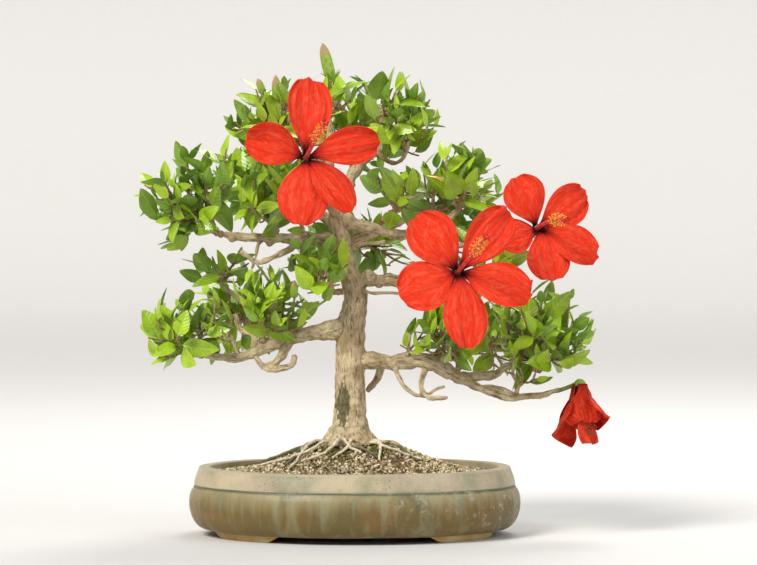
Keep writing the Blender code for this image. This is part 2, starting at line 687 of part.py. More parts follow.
def distance_to_line(place, points, radii):
    """Distance from a place to the surface of a tapering tube."""
    nearest = math.inf
    for start, end, radius in zip(points, points[1:], radii):
        along = end - start
        share = (place - start).dot(along) / max(along.length_squared, 1e-9)
        share = min(max(share, 0.0), 1.0)
        nearest = min(nearest, (place - start - along * share).length - radius)
    return nearest


def in_space(place, mass):
    """True inside the mass's own ellipsoid and nearer to it than to any other mass."""
    own = space_distance(place, mass)
    if own > SPACE_REACH:
        return False
    return all(own < space_distance(place, other) - SPACE_MARGIN
               for other in MASSES if other is not mass)


def space_distance(place, mass):
    return math.sqrt(sum(((a - b) / c) ** 2 for a, b, c in zip(place, mass.centre, mass.half)))


def before_bloom(place):
    """True where a leaf would stand in or before an open bloom."""
    for bloom in BLOOMS:
        axis = Vector(bloom.facing).normalized()
        offset = place - Vector(bloom.throat)
        ahead = offset.dot(axis)
        if -KEEP_CLEAR_BEHIND < ahead < KEEP_CLEAR_BEFORE:
            if (offset - axis * ahead).length < bloom.petal * KEEP_CLEAR_ROUND:
                return True
    return False


def is_free(place, mass, lines, margin):
    if not in_space(place, mass) or before_bloom(place):
        return False
    return all(distance_to_line(place, *line) > margin for line in lines.values())


def tip_foot(points, radii):
    """Where a shoot that goes on from a limb's tip starts, its direction and its thickness."""
    along = (points[-1] - points[-2]).normalized()
    return points[-1] + along * GAP, along, radii[-1] * SHOOT_SLIMMING


def side_foot(points, radii, share, heart):
    """The same for a shoot that leaves the side of a limb towards the heart of its mass."""
    index = min(int(share * (len(points) - 1)), len(points) - 2)
    axis = (points[index + 1] - points[index]).normalized()
    middle = (points[index] + points[index + 1]) / 2
    outward = heart - middle
    outward = (outward - axis * outward.dot(axis)).normalized()
    return middle + outward * (radii[index] + 2 * GAP), outward, SIDE_STEM_RADIUS


def shoot_line(foot, along, end, steps):
    """A shoot that starts square to its foot and bends to its end."""
    turn = foot + along * (end - foot).length * SHOOT_TURN
    line = bent_line(foot, turn, end, steps)
    line.insert(1, foot + along * STRAIGHT_START)
    return line


def stem_line(mass, lines):
    """The stem of a mass: from 0.3 mm clear of its limb to the heart of its space."""
    points, radii = lines[mass.limb]
    heart = Vector(mass.centre) - UP * mass.half[2] * HEART_DROP
    if mass.at == 1.0:
        foot, along, radius = tip_foot(points, radii)
    else:
        foot, along, radius = side_foot(points, radii, mass.at, heart)
    heart.z = max(heart.z, foot.z + LEAST_RISE)
    line = shoot_line(foot, along, heart, STEM_STEPS)
    return line, taper((radius, TWIG_RADII[0]), len(line))


def targets(mass, heart, rng):
    """Ends of the twigs: short of the named tips, then spread evenly over the space."""
    middle = Vector(mass.centre)
    ends = []
    for tip in mass.tips:
        outward = (Vector(tip) - heart).normalized()
        ends.append(Vector(tip) - outward * LEAF_LENGTH[0])
    turn = rng.uniform(0.0, math.tau)
    spread = TWIGS_PER_MASS - len(ends)
    for number in range(spread):
        level = TWIG_LEVELS[0] - TWIG_LEVELS[1] * (number + 0.5) / spread
        ring = math.sqrt(1.0 - level * level)
        angle = turn + number * GOLDEN_ANGLE
        reach = rng.uniform(*TWIG_REACH)
        direction = (ring * math.cos(angle), ring * math.sin(angle), level)
        ends.append(middle + Vector([a * b * reach for a, b in zip(direction, mass.half)]))
    return ends


def free_part(line, mass, lines, margin):
    """The points of a line up to the first that is not free, sparing its foot."""
    kept = line[:1]
    for point in line[1:]:
        if not is_free(point, mass, lines, margin):
            break
        kept.append(point)
    return kept


def along_line(line, share):
    """Place and direction at a share of a line's points."""
    if share == 1.0:
        return line[-1], (line[-1] - line[-2]).normalized()
    position = share * (len(line) - 1)
    index = min(int(position), len(line) - 2)
    step = line[index + 1] - line[index]
    return line[index] + step * (position - index), step.normalized()


def grow_twigs(mass, stem, lines, rng):
    """Twigs that leave the outer part of the stem and turn up towards their ends."""
    twigs = []
    for end in targets(mass, stem[-1], rng):
        share = 1.0 if not twigs else rng.uniform(*TWIG_FEET)
        foot, _ = along_line(stem, share)
        middle = (foot + end) / 2 - UP * (end - foot).length * rng.uniform(*TWIG_SAG)
        line = free_part(bent_line(foot, middle, end, TWIG_STEPS), mass, lines, LEAF_CLEARANCE)
        if len(line) > TWIG_STEPS:
            twigs.append((line, taper(TWIG_RADII, len(line))))
    return twigs


def leaf_frame(foot, direction, face_to):
    """Matrix that lays a leaf's length along a direction with its face turned to another."""
    length = direction.normalized()
    across = length.cross(face_to)
    if across.length < 0.1:
        across = length.orthogonal()
    across.normalize()
    face = across.cross(length).normalized()
    frame = Matrix((across, face, length)).transposed().to_4x4()
    frame.translation = foot
    return frame


def leaf_samples(frame, length):
    """Places on a leaf that have to be free."""
    half = length * LEAF_WIDTH / 2
    widest = length * LEAF_WIDEST
    flat = ((0, 0, 0.25 * length), (half, 0, widest), (-half, 0, widest),
            (0, 0, 0.7 * length), (0, 0, length), (0.5 * half, 0, 0.7 * length),
            (-0.5 * half, 0, 0.7 * length))
    return [frame @ Vector(place) for place in flat]


def leaf_bmesh(frame, length):
    """An eight-sided leaf: pointed at both ends, folded a little along its rib."""
    bm = bmesh.new()
    bmesh.ops.create_uvsphere(bm, u_segments=4, v_segments=2, radius=1.0)
    for vert in bm.verts:
        x, y, z = vert.co
        if abs(z) > 0.5:
            place = Vector((0.0, 0.0, length if z > 0 else 0.0))
        else:
            fold = (LEAF_KEEL if abs(y) > 0.5 else LEAF_RIDGE) * LEAF_THICKNESS
            place = Vector((x * length * LEAF_WIDTH / 2, y * LEAF_THICKNESS / 2 + fold,
                            length * LEAF_WIDEST))
        vert.co = (frame @ place + PLANT_SHIFT) * MM
    bmesh.ops.recalc_face_normals(bm, faces=bm.faces)
    return bm


def meets_another(frame, length, others):
    """True where a leaf would cut one that already stands; keeps its faces for the next test."""
    bm = leaf_bmesh(frame, length)
    faces = BVHTree.FromBMesh(bm)
    bm.free()
    if any(faces.overlap(other) for other in others):
        return True
    others.append(faces)
    return False


def grow_leaves(mass, twigs, lines, rng):
    """Leaves in a spiral down every twig from its tip, until the mass has its number."""
    leaves = []
    faces = []
    turns = [rng.uniform(0.0, math.tau) for _ in twigs]
    for rank in range(LEAF_RANKS):
        share = LEAF_FIRST - LEAF_RANK_STEP * rank
        spread = LEAF_SPREAD[0] + LEAF_SPREAD[1] * rank if rank else 0.0
        for number, (line, _) in enumerate(twigs):
            foot, along = along_line(line, share)
            side = along.orthogonal().normalized()
            side = Matrix.Rotation(turns[number] + rank * GOLDEN_ANGLE, 3, along) @ side
            direction = along + side * spread + UP * LEAF_LIFT
            outward = (foot - Vector(mass.centre)).normalized()
            chance = Vector([rng.uniform(-1.0, 1.0) for _ in range(3)]) * LEAF_FACE_CHANCE
            length = rng.uniform(*LEAF_LENGTH)
            face_to = UP * LEAF_FACE_UP + outward * LEAF_FACE_OUT + chance
            frame = leaf_frame(foot, direction, face_to)
            samples = leaf_samples(frame, length)
            others = [twig for twig in twigs if twig[0] is not line]
            if len(leaves) == LEAVES_PER_MASS:
                return leaves
            if not all(is_free(place, mass, lines, LEAF_CLEARANCE) for place in samples):
                continue
            if any(distance_to_line(place, *twig) < LEAF_TO_TWIG
                   for place in samples for twig in others):
                continue
            if meets_another(frame, length, faces):
                continue
            leaves.append((frame, length))
    return leaves


# --- foliage and blossom solids ----------------------------------------------------------------
def add_bud(name, tip, length, radius, collection):
    """An upright pointed bud."""
    bm = bmesh.new()
    bmesh.ops.create_uvsphere(bm, u_segments=BUD_SIDES, v_segments=4, radius=1.0)
    for vert in bm.verts:
        x, y, z = vert.co
        rise = (z + 1.0) / 2
        swell = radius * (1.0 - BUD_NARROWING * rise)
        vert.co = (tip[0] + x * swell, tip[1] + y * swell, tip[2] - length * (1.0 - rise))
        vert.co = (vert.co + PLANT_SHIFT) * MM
    bmesh.ops.recalc_face_normals(bm, faces=bm.faces)
    return bmesh_object(name, bm, None, collection)


def build_mass(mass, lines, section, materials, parts, loose):
    """One mass: stem, twigs, buds and leaves fused into a single solid."""
    seed = FOLIAGE_SEED + 10 * MASSES.index(mass)
    stem, radii = lines["stem_" + mass.name]
    others = {name: line for name, line in lines.items() if name != "stem_" + mass.name}
    twigs = grow_twigs(mass, stem, others, random.Random(seed))
    leader = [twig for twig in twigs if twig[0][0] == stem[-1]][:1]
    whole = list(stem)
    thick = list(radii)
    for line, line_radii in leader:
        whole += line[1:]
        thick += line_radii[1:]
    item = tube(mass.name, whole, thick, parts, materials["leaf"], resolution=0)
    for number, (line, line_radii) in enumerate(twigs):
        if (line, line_radii) not in leader:
            tube(f"twig_{number}", line, line_radii, loose, section=section)
    for owner, tip, length, radius in BUDS:
        if owner == mass.name:
            add_bud("bud", tip, length, radius, loose)
            foot = Vector(tip) - UP * length * BUD_FOOT
            bow = (foot - stem[-1]).cross(UP).normalized() * BUD_STALK_BOW
            line = bent_line(stem[-1], (stem[-1] + foot) / 2 + bow, foot, TWIG_STEPS)
            tube("bud_stalk", line, taper(BUD_STALK_RADII, len(line)), loose, section=section)
    leaves = grow_leaves(mass, twigs, others, random.Random(seed + 1))
    for number, (frame, length) in enumerate(leaves):
        bmesh_object(f"leaf_{number}", leaf_bmesh(frame, length), None, loose)
    join_all(item, loose)


def petal_place(across, along, length):
    """A point of a petal: across from -1 to 1, along from 0 at the throat to 1 at the lip."""
    lip = math.sqrt(max(0.0, 1.0 - ((along - PETAL_WIDEST) / PETAL_LIP) ** 2))
    fan = PETAL_FOOT + PETAL_FLARE * along
    half = length * (min(fan, PETAL_HALF_WIDTH * lip) if along > PETAL_LIP / 2 else fan)
    rounded = 1.0 - PETAL_ROUND * across * across * along
    rise = length * PETAL_RISE * math.sin(along * PETAL_BOW)
    turns = across * PETAL_WAVES[0] + along * PETAL_WAVES[1]
    wave = PETAL_WAVE * length * math.sin(turns) * along
    return Vector((across * half, along * length * rounded, rise + wave))


def add_petal(name, frame, length, collection):
    """A thin curved petal, thickened both ways from its middle surface."""
    bm = bmesh.new()
    bmesh.ops.create_grid(bm, x_segments=PETAL_GRID[0], y_segments=PETAL_GRID[1], size=1.0)
    for vert in bm.verts:
        along = PETAL_START + (1.0 - PETAL_START) * (vert.co.y + 1.0) / 2
        vert.co = (frame @ petal_place(vert.co.x, along, length) + PLANT_SHIFT) * MM
    item = bmesh_object(name, bm, None, collection)
    wall = item.modifiers.new("thickness", "SOLIDIFY")
    wall.thickness = PETAL_THICKNESS * MM
    wall.offset = 0.0
    bake(item)
    return item


def facing_frame(throat, facing, spin):
    """Frame at the throat of a bloom with +Z out of it and +Y along its first petal."""
    axis = Vector(facing).normalized()
    across = UP.cross(axis).normalized()
    rise = axis.cross(across)
    frame = Matrix((across, rise, axis)).transposed().to_4x4()
    frame.translation = Vector(throat)
    return frame @ Matrix.Rotation(math.radians(spin - 90.0), 4, "Z")


def build_bloom(bloom, lines, materials, parts, loose):
    """Stalk, calyx and column as one swelling tube, with five petals fused to it."""
    foot, along, radius = tip_foot(*lines[bloom.limb])
    axis = Vector(bloom.facing).normalized()
    throat = Vector(bloom.throat)
    stalk = shoot_line(foot, along, throat - axis * CALYX_LENGTH, STALK_STEPS)
    thick = taper((radius, STALK_RADIUS), len(stalk))
    for ahead, radius in BLOOM_SWELLS:
        stalk.append(throat + axis * ahead)
        thick.append(radius)
    item = tube(bloom.name, stalk, thick, parts, materials["petal"], resolution=1)
    frame = facing_frame(bloom.throat, bloom.facing, bloom.spin)
    for number in range(PETALS):
        turned = frame @ Matrix.Rotation(math.tau * number / PETALS, 4, "Z")
        add_petal(f"petal_{number}", turned, bloom.petal, loose)
    join_all(item, loose)


def build_wilted(lines, materials, parts, loose):
    """The spent bloom that hangs from the right fork: a furled, lobed bag on its stalk."""
    foot, along, radius = tip_foot(*lines[WILTED_LIMB])
    top = Vector(WILTED_TOP)
    stalk = shoot_line(foot, along, top, STALK_STEPS)
    stalk.append(top - UP * WILTED_LENGTH * WILTED_CAP)
    item = tube(WILTED_NAME, stalk, taper((radius, STALK_RADIUS), len(stalk)), parts,
                materials["petal"], resolution=1)
    bm = bmesh.new()
    around, down = WILTED_SEGMENTS
    bmesh.ops.create_uvsphere(bm, u_segments=around, v_segments=down, radius=1.0)
    for vert in bm.verts:
        angle = math.atan2(vert.co.y, vert.co.x)
        fall = (1.0 - vert.co.z) / 2
        furl = 1.0 - WILTED_FURL_DEPTH * fall * (1.0 - math.cos(WILTED_FURLS * angle))
        wide = WILTED_HALF * (WILTED_MOUTH + WILTED_SPREAD * fall) * furl
        drop = WILTED_LENGTH * fall * (1.0 - WILTED_HEM * math.sin(2.0 * angle))
        offset = Vector((vert.co.x * wide, vert.co.y * wide * WILTED_DEPTH, -drop))
        vert.co = (top + offset + PLANT_SHIFT) * MM
    bmesh.ops.recalc_face_normals(bm, faces=bm.faces)
    bmesh_object("bag", bm, None, loose)
    join_all(item, loose)


def main():
    clear_scene()
    parts = bpy.data.collections.new("hibiscus_bonsai")
    cutters = bpy.data.collections.new("cutters")
    loose = bpy.data.collections.new("loose_pieces")
    for collection in (parts, cutters, loose):
        bpy.context.scene.collection.children.link(collection)
    materials = make_materials()
    build_pot(materials, parts, cutters, loose)
    soil = build_soil(materials, parts)
    build_trunk(soil, materials, parts, loose)
    build_limbs(materials, parts, cutters)
    lines = obstacle_lines()
    stems = {"stem_" + mass.name: stem_line(mass, lines) for mass in MASSES}
    lines.update(stems)
    section = three_sided_section(cutters)
    for bloom in BLOOMS:
        build_bloom(bloom, lines, materials, parts, loose)
    build_wilted(lines, materials, parts, loose)
    for mass in MASSES:
        build_mass(mass, lines, section, materials, parts, loose)


main()
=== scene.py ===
"""Hibiscus bonsai in its oval pot: the finish of every surface, laid out as a Blender add-on.

Sizes in the tables are millimetres in the plant's own frame; every mesh is made in metres. The
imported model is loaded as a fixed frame, and each piece here is fitted over the solid it stands for.
"""
import math
import random
from collections import namedtuple

import bpy
import numpy as np
from mathutils import Matrix, Vector, noise


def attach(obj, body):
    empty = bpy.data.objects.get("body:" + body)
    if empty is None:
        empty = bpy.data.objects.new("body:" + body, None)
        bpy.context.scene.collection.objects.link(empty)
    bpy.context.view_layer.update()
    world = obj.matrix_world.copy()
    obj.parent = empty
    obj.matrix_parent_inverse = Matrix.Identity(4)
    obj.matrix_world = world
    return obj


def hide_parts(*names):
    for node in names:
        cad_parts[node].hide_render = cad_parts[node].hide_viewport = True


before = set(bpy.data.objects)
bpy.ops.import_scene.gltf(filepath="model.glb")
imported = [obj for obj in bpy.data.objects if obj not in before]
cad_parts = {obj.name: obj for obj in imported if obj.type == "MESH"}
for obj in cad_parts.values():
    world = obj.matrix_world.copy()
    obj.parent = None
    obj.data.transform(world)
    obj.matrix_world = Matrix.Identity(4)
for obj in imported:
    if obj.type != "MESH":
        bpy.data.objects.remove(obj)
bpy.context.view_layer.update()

bl_info = {
    "name": "Hibiscus bonsai",
    "version": (1, 0, 0),
    "blender": (4, 5, 0),
    "location": "View3D > Sidebar > Bonsai",
    "description": "Builds a flowering hibiscus bonsai in its oval pot, piece by piece",
    "category": "Add Mesh",
}

MM = 0.001
GAP = 0.3                      # between a shoot's foot and the limb it stands on
WELD_DISTANCE = 0.00001        # metres
GOLDEN_ANGLE = math.pi * (3.0 - math.sqrt(5.0))
UP = Vector((0.0, 0.0, 1.0))
PLANT_SHIFT = Vector((0.5, 6.5, 0.0))   # brings the middle of the plant over the origin
NOISE_SEED = 1
noise.seed_set(NOISE_SEED)     # unseeded, noise_vector differs from run to run

# --- pot and soil ------------------------------------------------------------------------------
POT_X = -16.0
POT_DEPTH_RATIO = 0.75
RIM_HEIGHT = 62.0
RIM_HALF = 141.0
RIM_WALL = 11.0
RIM_ROUND = 2.4
RIM_STEPS = 5
INNER_HALF = RIM_HALF - RIM_WALL
GROOVE_HEIGHT = 45.0
GROOVE_HALF = 146.0
BELLY_HALF = 149.6
BELLY_HEIGHT = 30.0
BASE_HALF = 134.0
BASE_HEIGHT = 6.0
FOOT_INSET = 3.0
FOOT_WIDTH = 30.0
FOOT_ROUND = 0.8
FRONT_OPENING = (132.0, 152.0)
SIDE_OPENING = (58.0, 76.0)
POT_SIDES = 144
WALL_WAVE = 55.0
SOIL_SEAT_HALF = 38.0
SOIL_SEAT_HEIGHT = 81.0
SOIL_EDGE_HEIGHT = 56.0
SOIL_HOLLOW = 1.7
HUMMOCK_SIZE = 21.0
HUMMOCK_HEIGHT = 3.2
HUMMOCK_FADE = 16.0
HUMMOCK_RINGS = 4
HUMMOCK_SIDES = 36
CLOD_SIZE = 8.0
CLOD_HEIGHT = 0.5
SOIL_PLAY = 0.5                # between the hummocks' outer ring and the wall
SOIL_DEPTH = 14.0
SOIL_RINGS = 30
SOIL_SIDES = 96
GRIT_DEPTH = 1.5               # how far the mound lies below the top of its grit
GRAINS = 9400
GRAIN_RADII = (0.6, 1.7)
GRIT_COLOURS = {               # light and dark
    "grit_cream": ((0.86, 0.76, 0.52), (0.62, 0.53, 0.34)),
    "grit_tan": ((0.52, 0.40, 0.22), (0.33, 0.25, 0.12)),
    "grit_red": ((0.36, 0.21, 0.13), (0.22, 0.12, 0.07)),
    "grit_grey": ((0.36, 0.31, 0.24), (0.18, 0.15, 0.11)),
    "grit_olive": ((0.34, 0.32, 0.12), (0.18, 0.175, 0.05)),
    "moss": ((0.25, 0.29, 0.05), (0.11, 0.14, 0.02)),
    "earth": ((0.17, 0.12, 0.065), (0.085, 0.058, 0.03)),
}
GRIT_MIX = ("grit_cream",) * 4 + ("grit_tan",) * 4 + ("grit_grey", "grit_olive", "earth", "earth")
FINE_GRIT = ("grit_olive", "moss", "earth")
GRIT_SEED = 41
RED_PATCH = 26.0
MOSS_PATCH = 17.0
MOSS_REACH = 56.0

# --- trunk and boughs --------------------------------------------------------------------------
# x, y, z and radius up the middle of the trunk
TRUNK_LINE = (
    (-20.3, 0.0, SOIL_SEAT_HEIGHT + GAP, 21.0),
    (-20.6, 0.0, 96.0, 16.4),
    (-20.0, 0.0, 120.0, 13.9),
    (-20.5, 0.0, 154.0, 13.0),
    (-19.0, 1.0, 191.0, 12.4),
    (-15.2, 2.0, 216.0, 10.8),
    (-24.0, 1.0, 243.0, 9.8),
    (-30.0, 0.0, 272.0, 9.2),
    (-33.0, 0.0, 298.0, 7.4),
)
TRUNK_X, TRUNK_Y = TRUNK_LINE[0][:2]
TRUNK_CORE = 13.0
TRUNK_RING_SPACING = 18.0
TRUNK_FINE = 5.0
TRUNK_SIDES = 44
FLARE_HEIGHT = 17.0
FLARE_DEPTH = 7.5
BUTTRESS_EDGE = 0.86           # cosine of the angle at which a buttress ends
BUTTRESS_ANGLES = (5.0, 62.0, 128.0, 182.0, 236.0, 305.0)
SURFACE_ROOTS = (              # bearing in degrees, reach, radius at the trunk, sideways drift
    (176.0, 86.0, 2.6, 9.0),
    (207.0, 58.0, 3.0, -12.0),
    (254.0, 34.0, 2.4, 9.0),
    (292.0, 36.0, 2.6, -8.0),
    (338.0, 56.0, 3.0, 8.0),
    (24.0, 48.0, 2.6, -7.0),
    (118.0, 50.0, 2.8, 10.0),
)
FINE_ROOTS = (                 # the same, and how high a loop lifts off the soil
    (258.0, 34.0, 2.0, 7.0, 4.5),
    (276.0, 30.0, 2.1, -7.0, 4.5),
    (230.0, 46.0, 2.3, 9.0, 4.0),
    (216.0, 62.0, 1.8, -12.0, 2.5),
    (198.0, 76.0, 1.7, 13.0, 2.0),
    (310.0, 40.0, 2.1, 10.0, 2.0),
    (332.0, 56.0, 1.9, -9.0, 1.5),
    (160.0, 44.0, 1.5, 9.0, 1.0),
    (60.0, 36.0, 1.6, 8.0, 1.5),
    (88.0, 30.0, 1.4, -7.0, 1.5),
)
ROOT_START = 12.0
ROOT_TIP_RADIUS = 1.1
MOSS_X, MOSS_HALF = -26.5, 7.0           # the dark patch on the trunk
MOSS_HEIGHT, MOSS_RISE = 118.0, 24.0
MOSS_FOOT = 96.0

Limb = namedtuple("Limb", "name radii path")
LIMBS = (
    Limb("bough_left_upper", (6.2, 2.8),
         ((-30, 0, 266), (-55, -8, 267), (-98, -14, 268), (-134, -11, 271))),
    Limb("bough_left_upper_fork", (3.4, 2.0),
         ((-62, -9, 267), (-78, -20, 256), (-101, -25, 246), (-118, -27, 256))),
    Limb("bough_left_lower", (8.8, 2.8),
         ((-21, 0, 188), (-60, -5, 181), (-89, -8, 172), (-117, -12, 160), (-152, -8, 162))),
    Limb("bough_left_riser", (2.9, 1.8),
         ((-88, -8, 173), (-102, 8, 196), (-122, 12, 212), (-138, 12, 227))),
    Limb("bough_left_back", (4.2, 2.8),
         ((-70, -6, 178), (-90, 24, 181), (-104, 42, 186))),
    Limb("bough_right_lower", (8.2, 5.6),
         ((-20, 0, 158), (20, -3, 156), (51, -6, 155), (82, -12, 140))),
    Limb("bough_right_end", (4.8, 2.6),
         ((78, -11, 143), (108, -4, 144), (125, 0, 153), (148, -3, 149))),
    Limb("bough_right_fork", (4.2, 2.2),
         ((76, -11, 143), (111, -18, 127), (145, -18, 127), (168, -14, 131))),
    Limb("bough_right_curl", (3.0, 1.9),
         ((49, -6, 155), (44, -20, 136), (51, -24, 125), (68, -23, 125))),
    Limb("bough_right_back", (4.2, 2.8),
         ((42, -5, 155), (70, 24, 159), (92, 42, 163))),
    Limb("bough_right_middle", (6.2, 3.0),
         ((-18, 2, 230), (24, 8, 229), (56, 6, 236), (78, 6, 243))),
    Limb("bough_front_right", (3.8, 2.4),
         ((34, 7, 231), (54, -25, 231), (68, -58, 236))),
    Limb("bough_right_upper", (6.2, 2.8),
         ((-32, 0, 286), (0, -4, 277), (29, -6, 271), (60, -8, 279), (76, -8, 292))),
    Limb("bough_right_far", (3.0, 2.2),
         ((44, -7, 274.5), (60, -20, 262), (92, -15, 262), (119, -14, 272))),
    Limb("leader_apex", (6.4, 2.8),
         ((-32.4, 0, 293), (-39, 8, 328), (-38, 8, 358), (-40, 4, 376))),
    Limb("leader_right", (6.4, 3.0),
         ((-32, 0, 290), (-14, 6, 332), (4, 8, 347), (12, 5, 362), (8, 3, 377))),
    Limb("bough_front_upper", (4.4, 2.6),
         ((-31.6, 0, 287), (-44, -28, 306), (-51, -54, 322))),
    Limb("bough_back_low", (5.6, 3.0),
         ((-23, 2, 238), (-28, 40, 247), (-22, 64, 255))),
    Limb("bough_back_right", (5.6, 3.0),
         ((-28, 1, 262), (10, 28, 276), (44, 48, 289))),
    Limb("bough_back_left", (5.2, 2.8),
         ((-31, 1, 280), (-60, 32, 295), (-82, 54, 307))),
)
LIMB_SPACING = 19.0
LIMB_SWAY = 1.9
LIMB_SWELL = 0.30
VOXEL = 1.15
BLOCK = 3000                   # vertices measured at a time
# old stubs, loops and thin shoots on the boughs: radii at both ends, and path
SPURS = (
    ((4.2, 3.4), ((-75, -10, 174), (-85, -15, 158), (-97, -18, 151))),
    ((3.4, 2.4), ((-96, -18, 151), (-84, -20, 151), (-73, -20, 154), (-70, -18, 163))),
    ((2.8, 2.2), ((-97, -18, 151), (-104, -15, 159), (-106, -12, 165))),
    ((2.2, 1.4), ((-92, -9, 175), (-89, -16, 200), (-83, -18, 217))),
    ((3.4, 2.2), ((-106, -10, 166), (-108, -2, 181), (-119, 2, 184), (-124, 4, 199))),
    ((2.6, 1.6), ((-120, -12, 162), (-127, -16, 177), (-136, -18, 184))),
    ((2.0, 1.4), ((30, -4, 156), (32, -12, 168), (34, -14, 184))),
    ((2.4, 1.6), ((58, -7, 154), (66, -14, 163), (80, -18, 170))),
    ((2.6, 1.6), ((20, -4, 155), (24, -16, 142), (35, -20, 128), (49, -20, 128), (65, -18, 135))),
    ((3.4, 2.4), ((8, 4, 153), (6, 12, 142), (-5, 14, 128))),
    ((2.0, 1.3), ((-14, -2, 222), (2, -10, 218), (25, -12, 218))),
    ((2.6, 1.6), ((-22, 0, 256), (-8, -8, 262), (12, -12, 265))),
    ((2.4, 1.5), ((4, 6, 345), (18, 2, 335), (27, -2, 341), (33, -4, 356))),
    ((2.6, 1.6), ((9, 6, 349), (22, 4, 350), (33, 2, 357), (34, 0, 366))),
    ((2.4, 1.5), ((11, 6, 364), (20, 8, 366), (30, 8, 368))),
    ((2.0, 1.3), ((-60, -8, 268), (-66, -14, 281), (-70, -18, 296))),
    ((2.0, 1.3), ((-98, -14, 268), (-104, -18, 256), (-108, -20, 240))),
    ((2.4, 1.5), ((132, -2, 152), (136, -10, 168), (134, -14, 184))),
    ((3.6, 3.0), ((100, -13, 133), (116, -20, 131), (126, -22, 128))),
    ((1.8, 1.2), ((128, -17, 127), (134, -20, 140), (132, -22, 152))),
)
KNOBS = (                      # place and radius of old cut knobs
    ((-4.0, -4.0, 232.0), 9.0),
    ((6.0, -2.0, 228.0), 7.0),
    ((-24.0, -7.0, 262.0), 6.0),
    ((-29.0, -4.0, 283.0), 8.0),
    ((-13.0, -4.0, 207.0), 6.5),
    ((-20.0, -8.0, 182.0), 7.0),
    ((-64.0, -8.0, 262.0), 6.5),
    ((-100.0, -11.0, 168.0), 7.0),
    ((84.0, -12.0, 142.0), 7.5),
    ((127.0, -2.0, 152.0), 5.0),
    ((-92.0, -12.0, 265.0), 6.0),
    ((-126.0, -14.0, 268.0), 5.5),
    ((9.0, 5.0, 349.0), 6.0),
)
KNOB_SHARE = 0.78              # of its radius, as the bark's relief adds the rest

# --- masses of foliage -------------------------------------------------------------------------
Mass = namedtuple("Mass", "name limb at centre half tips")
MASSES = (
    Mass("foliage_left_tip", "bough_left_upper", 1.0, (-158, -8, 306), (52, 50, 54),
         ((-208, -16, 322), (-143, -10, 346), (-160, -22, 268), (-196, 6, 300))),
    Mass("foliage_left_inner", "bough_left_upper", 0.55, (-96, -22, 302), (44, 42, 44),
         ((-116, -26, 322),)),
    Mass("foliage_left_shoulder", "leader_apex", 0.55, (-94, 0, 372), (40, 42, 46),
         ((-104, -6, 410), (-118, 2, 384))),
    Mass("foliage_apex", "leader_apex", 1.0, (-38, 0, 388), (38, 40, 36),
         ((-22, -6, 418), (-56, 4, 408))),
    Mass("foliage_apex_right", "leader_right", 1.0, (20, 0, 368), (42, 44, 50),
         ((6, -5, 415), (50, 0, 388), (55, -10, 366))),
    Mass("foliage_right_inner", "bough_right_upper", 0.42, (26, -8, 308), (42, 42, 42),
         ((18, -14, 328),)),
    Mass("foliage_right_upper", "bough_right_upper", 1.0, (72, -12, 316), (40, 42, 46),
         ((56, -12, 353), (104, -15, 312))),
    Mass("foliage_right_middle", "bough_right_middle", 1.0, (98, 16, 250), (44, 44, 42),
         ((124, 8, 258),)),
    Mass("foliage_right_end", "bough_right_end", 1.0, (149, -8, 180), (54, 50, 48),
         ((198, -14, 168), (182, -10, 205), (122, -12, 204))),
    Mass("foliage_right_low", "bough_right_lower", 0.86, (72, -18, 178), (46, 42, 38),
         ((58, -22, 186),)),
    Mass("foliage_left_low_end", "bough_left_lower", 1.0, (-157, -10, 180), (52, 48, 48),
         ((-207, -14, 168), (-193, -12, 210), (-146, -26, 146))),
    Mass("foliage_left_low", "bough_left_lower", 0.55, (-88, -14, 210), (44, 44, 44),
         ((-84, -18, 238),)),
    Mass("foliage_left_rise", "bough_left_riser", 1.0, (-138, 14, 236), (42, 42, 28),
         ((-164, 8, 252),)),
    Mass("foliage_centre", "trunk", 0.60, (-56, -24, 240), (36, 38, 38),
         ((-64, -24, 258),)),
    Mass("foliage_back_low", "bough_back_low", 1.0, (-20, 98, 262), (58, 46, 38),
         ((-20, 138, 262), (20, 112, 268))),
    Mass("foliage_back_right", "bough_back_right", 1.0, (72, 80, 300), (54, 44, 48),
         ((84, 116, 312), (104, 92, 318))),
    Mass("foliage_back_left", "bough_back_left", 1.0, (-106, 80, 316), (54, 44, 48),
         ((-114, 116, 326), (-142, 88, 330))),
    Mass("foliage_back_top", "leader_apex", 0.75, (-18, 62, 370), (52, 40, 46),
         ((-16, 90, 386),)),
    Mass("foliage_back_right_low", "bough_right_back", 1.0, (114, 72, 175), (54, 46, 38),
         ((128, 106, 182), (154, 78, 184))),
    Mass("foliage_back_left_low", "bough_left_back", 1.0, (-122, 72, 196), (54, 46, 40),
         ((-136, 106, 204), (-160, 80, 204))),
)
SPACE_MARGIN = 0.05
SPACE_REACH = 1.12
TWIGS_PER_MASS = 5
TWIG_REACH = (0.46, 0.62)
TWIG_FEET = (0.45, 0.9)
TWIG_RADII = (1.9, 1.0)
TWIG_STEPS = 2
TWIG_LEVELS = (0.9, 1.35)      # height of the uppermost twig's end in its space, and their fall
TWIG_SAG = (0.05, 0.16)
TWIG_SPACING = 6.0
STEM_STEPS = 2
SIDE_STEM_RADIUS = 2.3
STEM_SWELL = 1.25
SHOOT_SLIMMING = 0.92
SHOOT_TURN = 0.45
STRAIGHT_START = 2.0
HEART_DROP = 0.30
LEAST_RISE = 8.0
LEAF_CLEARANCE = 1.6
SOLID_LEAF_LENGTH = 31.0       # the solids' shortest leaf, by which their twigs stop short of a tip
FOLIAGE_SEED = 7
KEEP_CLEAR_BEHIND = 10.0
KEEP_CLEAR_BEFORE = 90.0
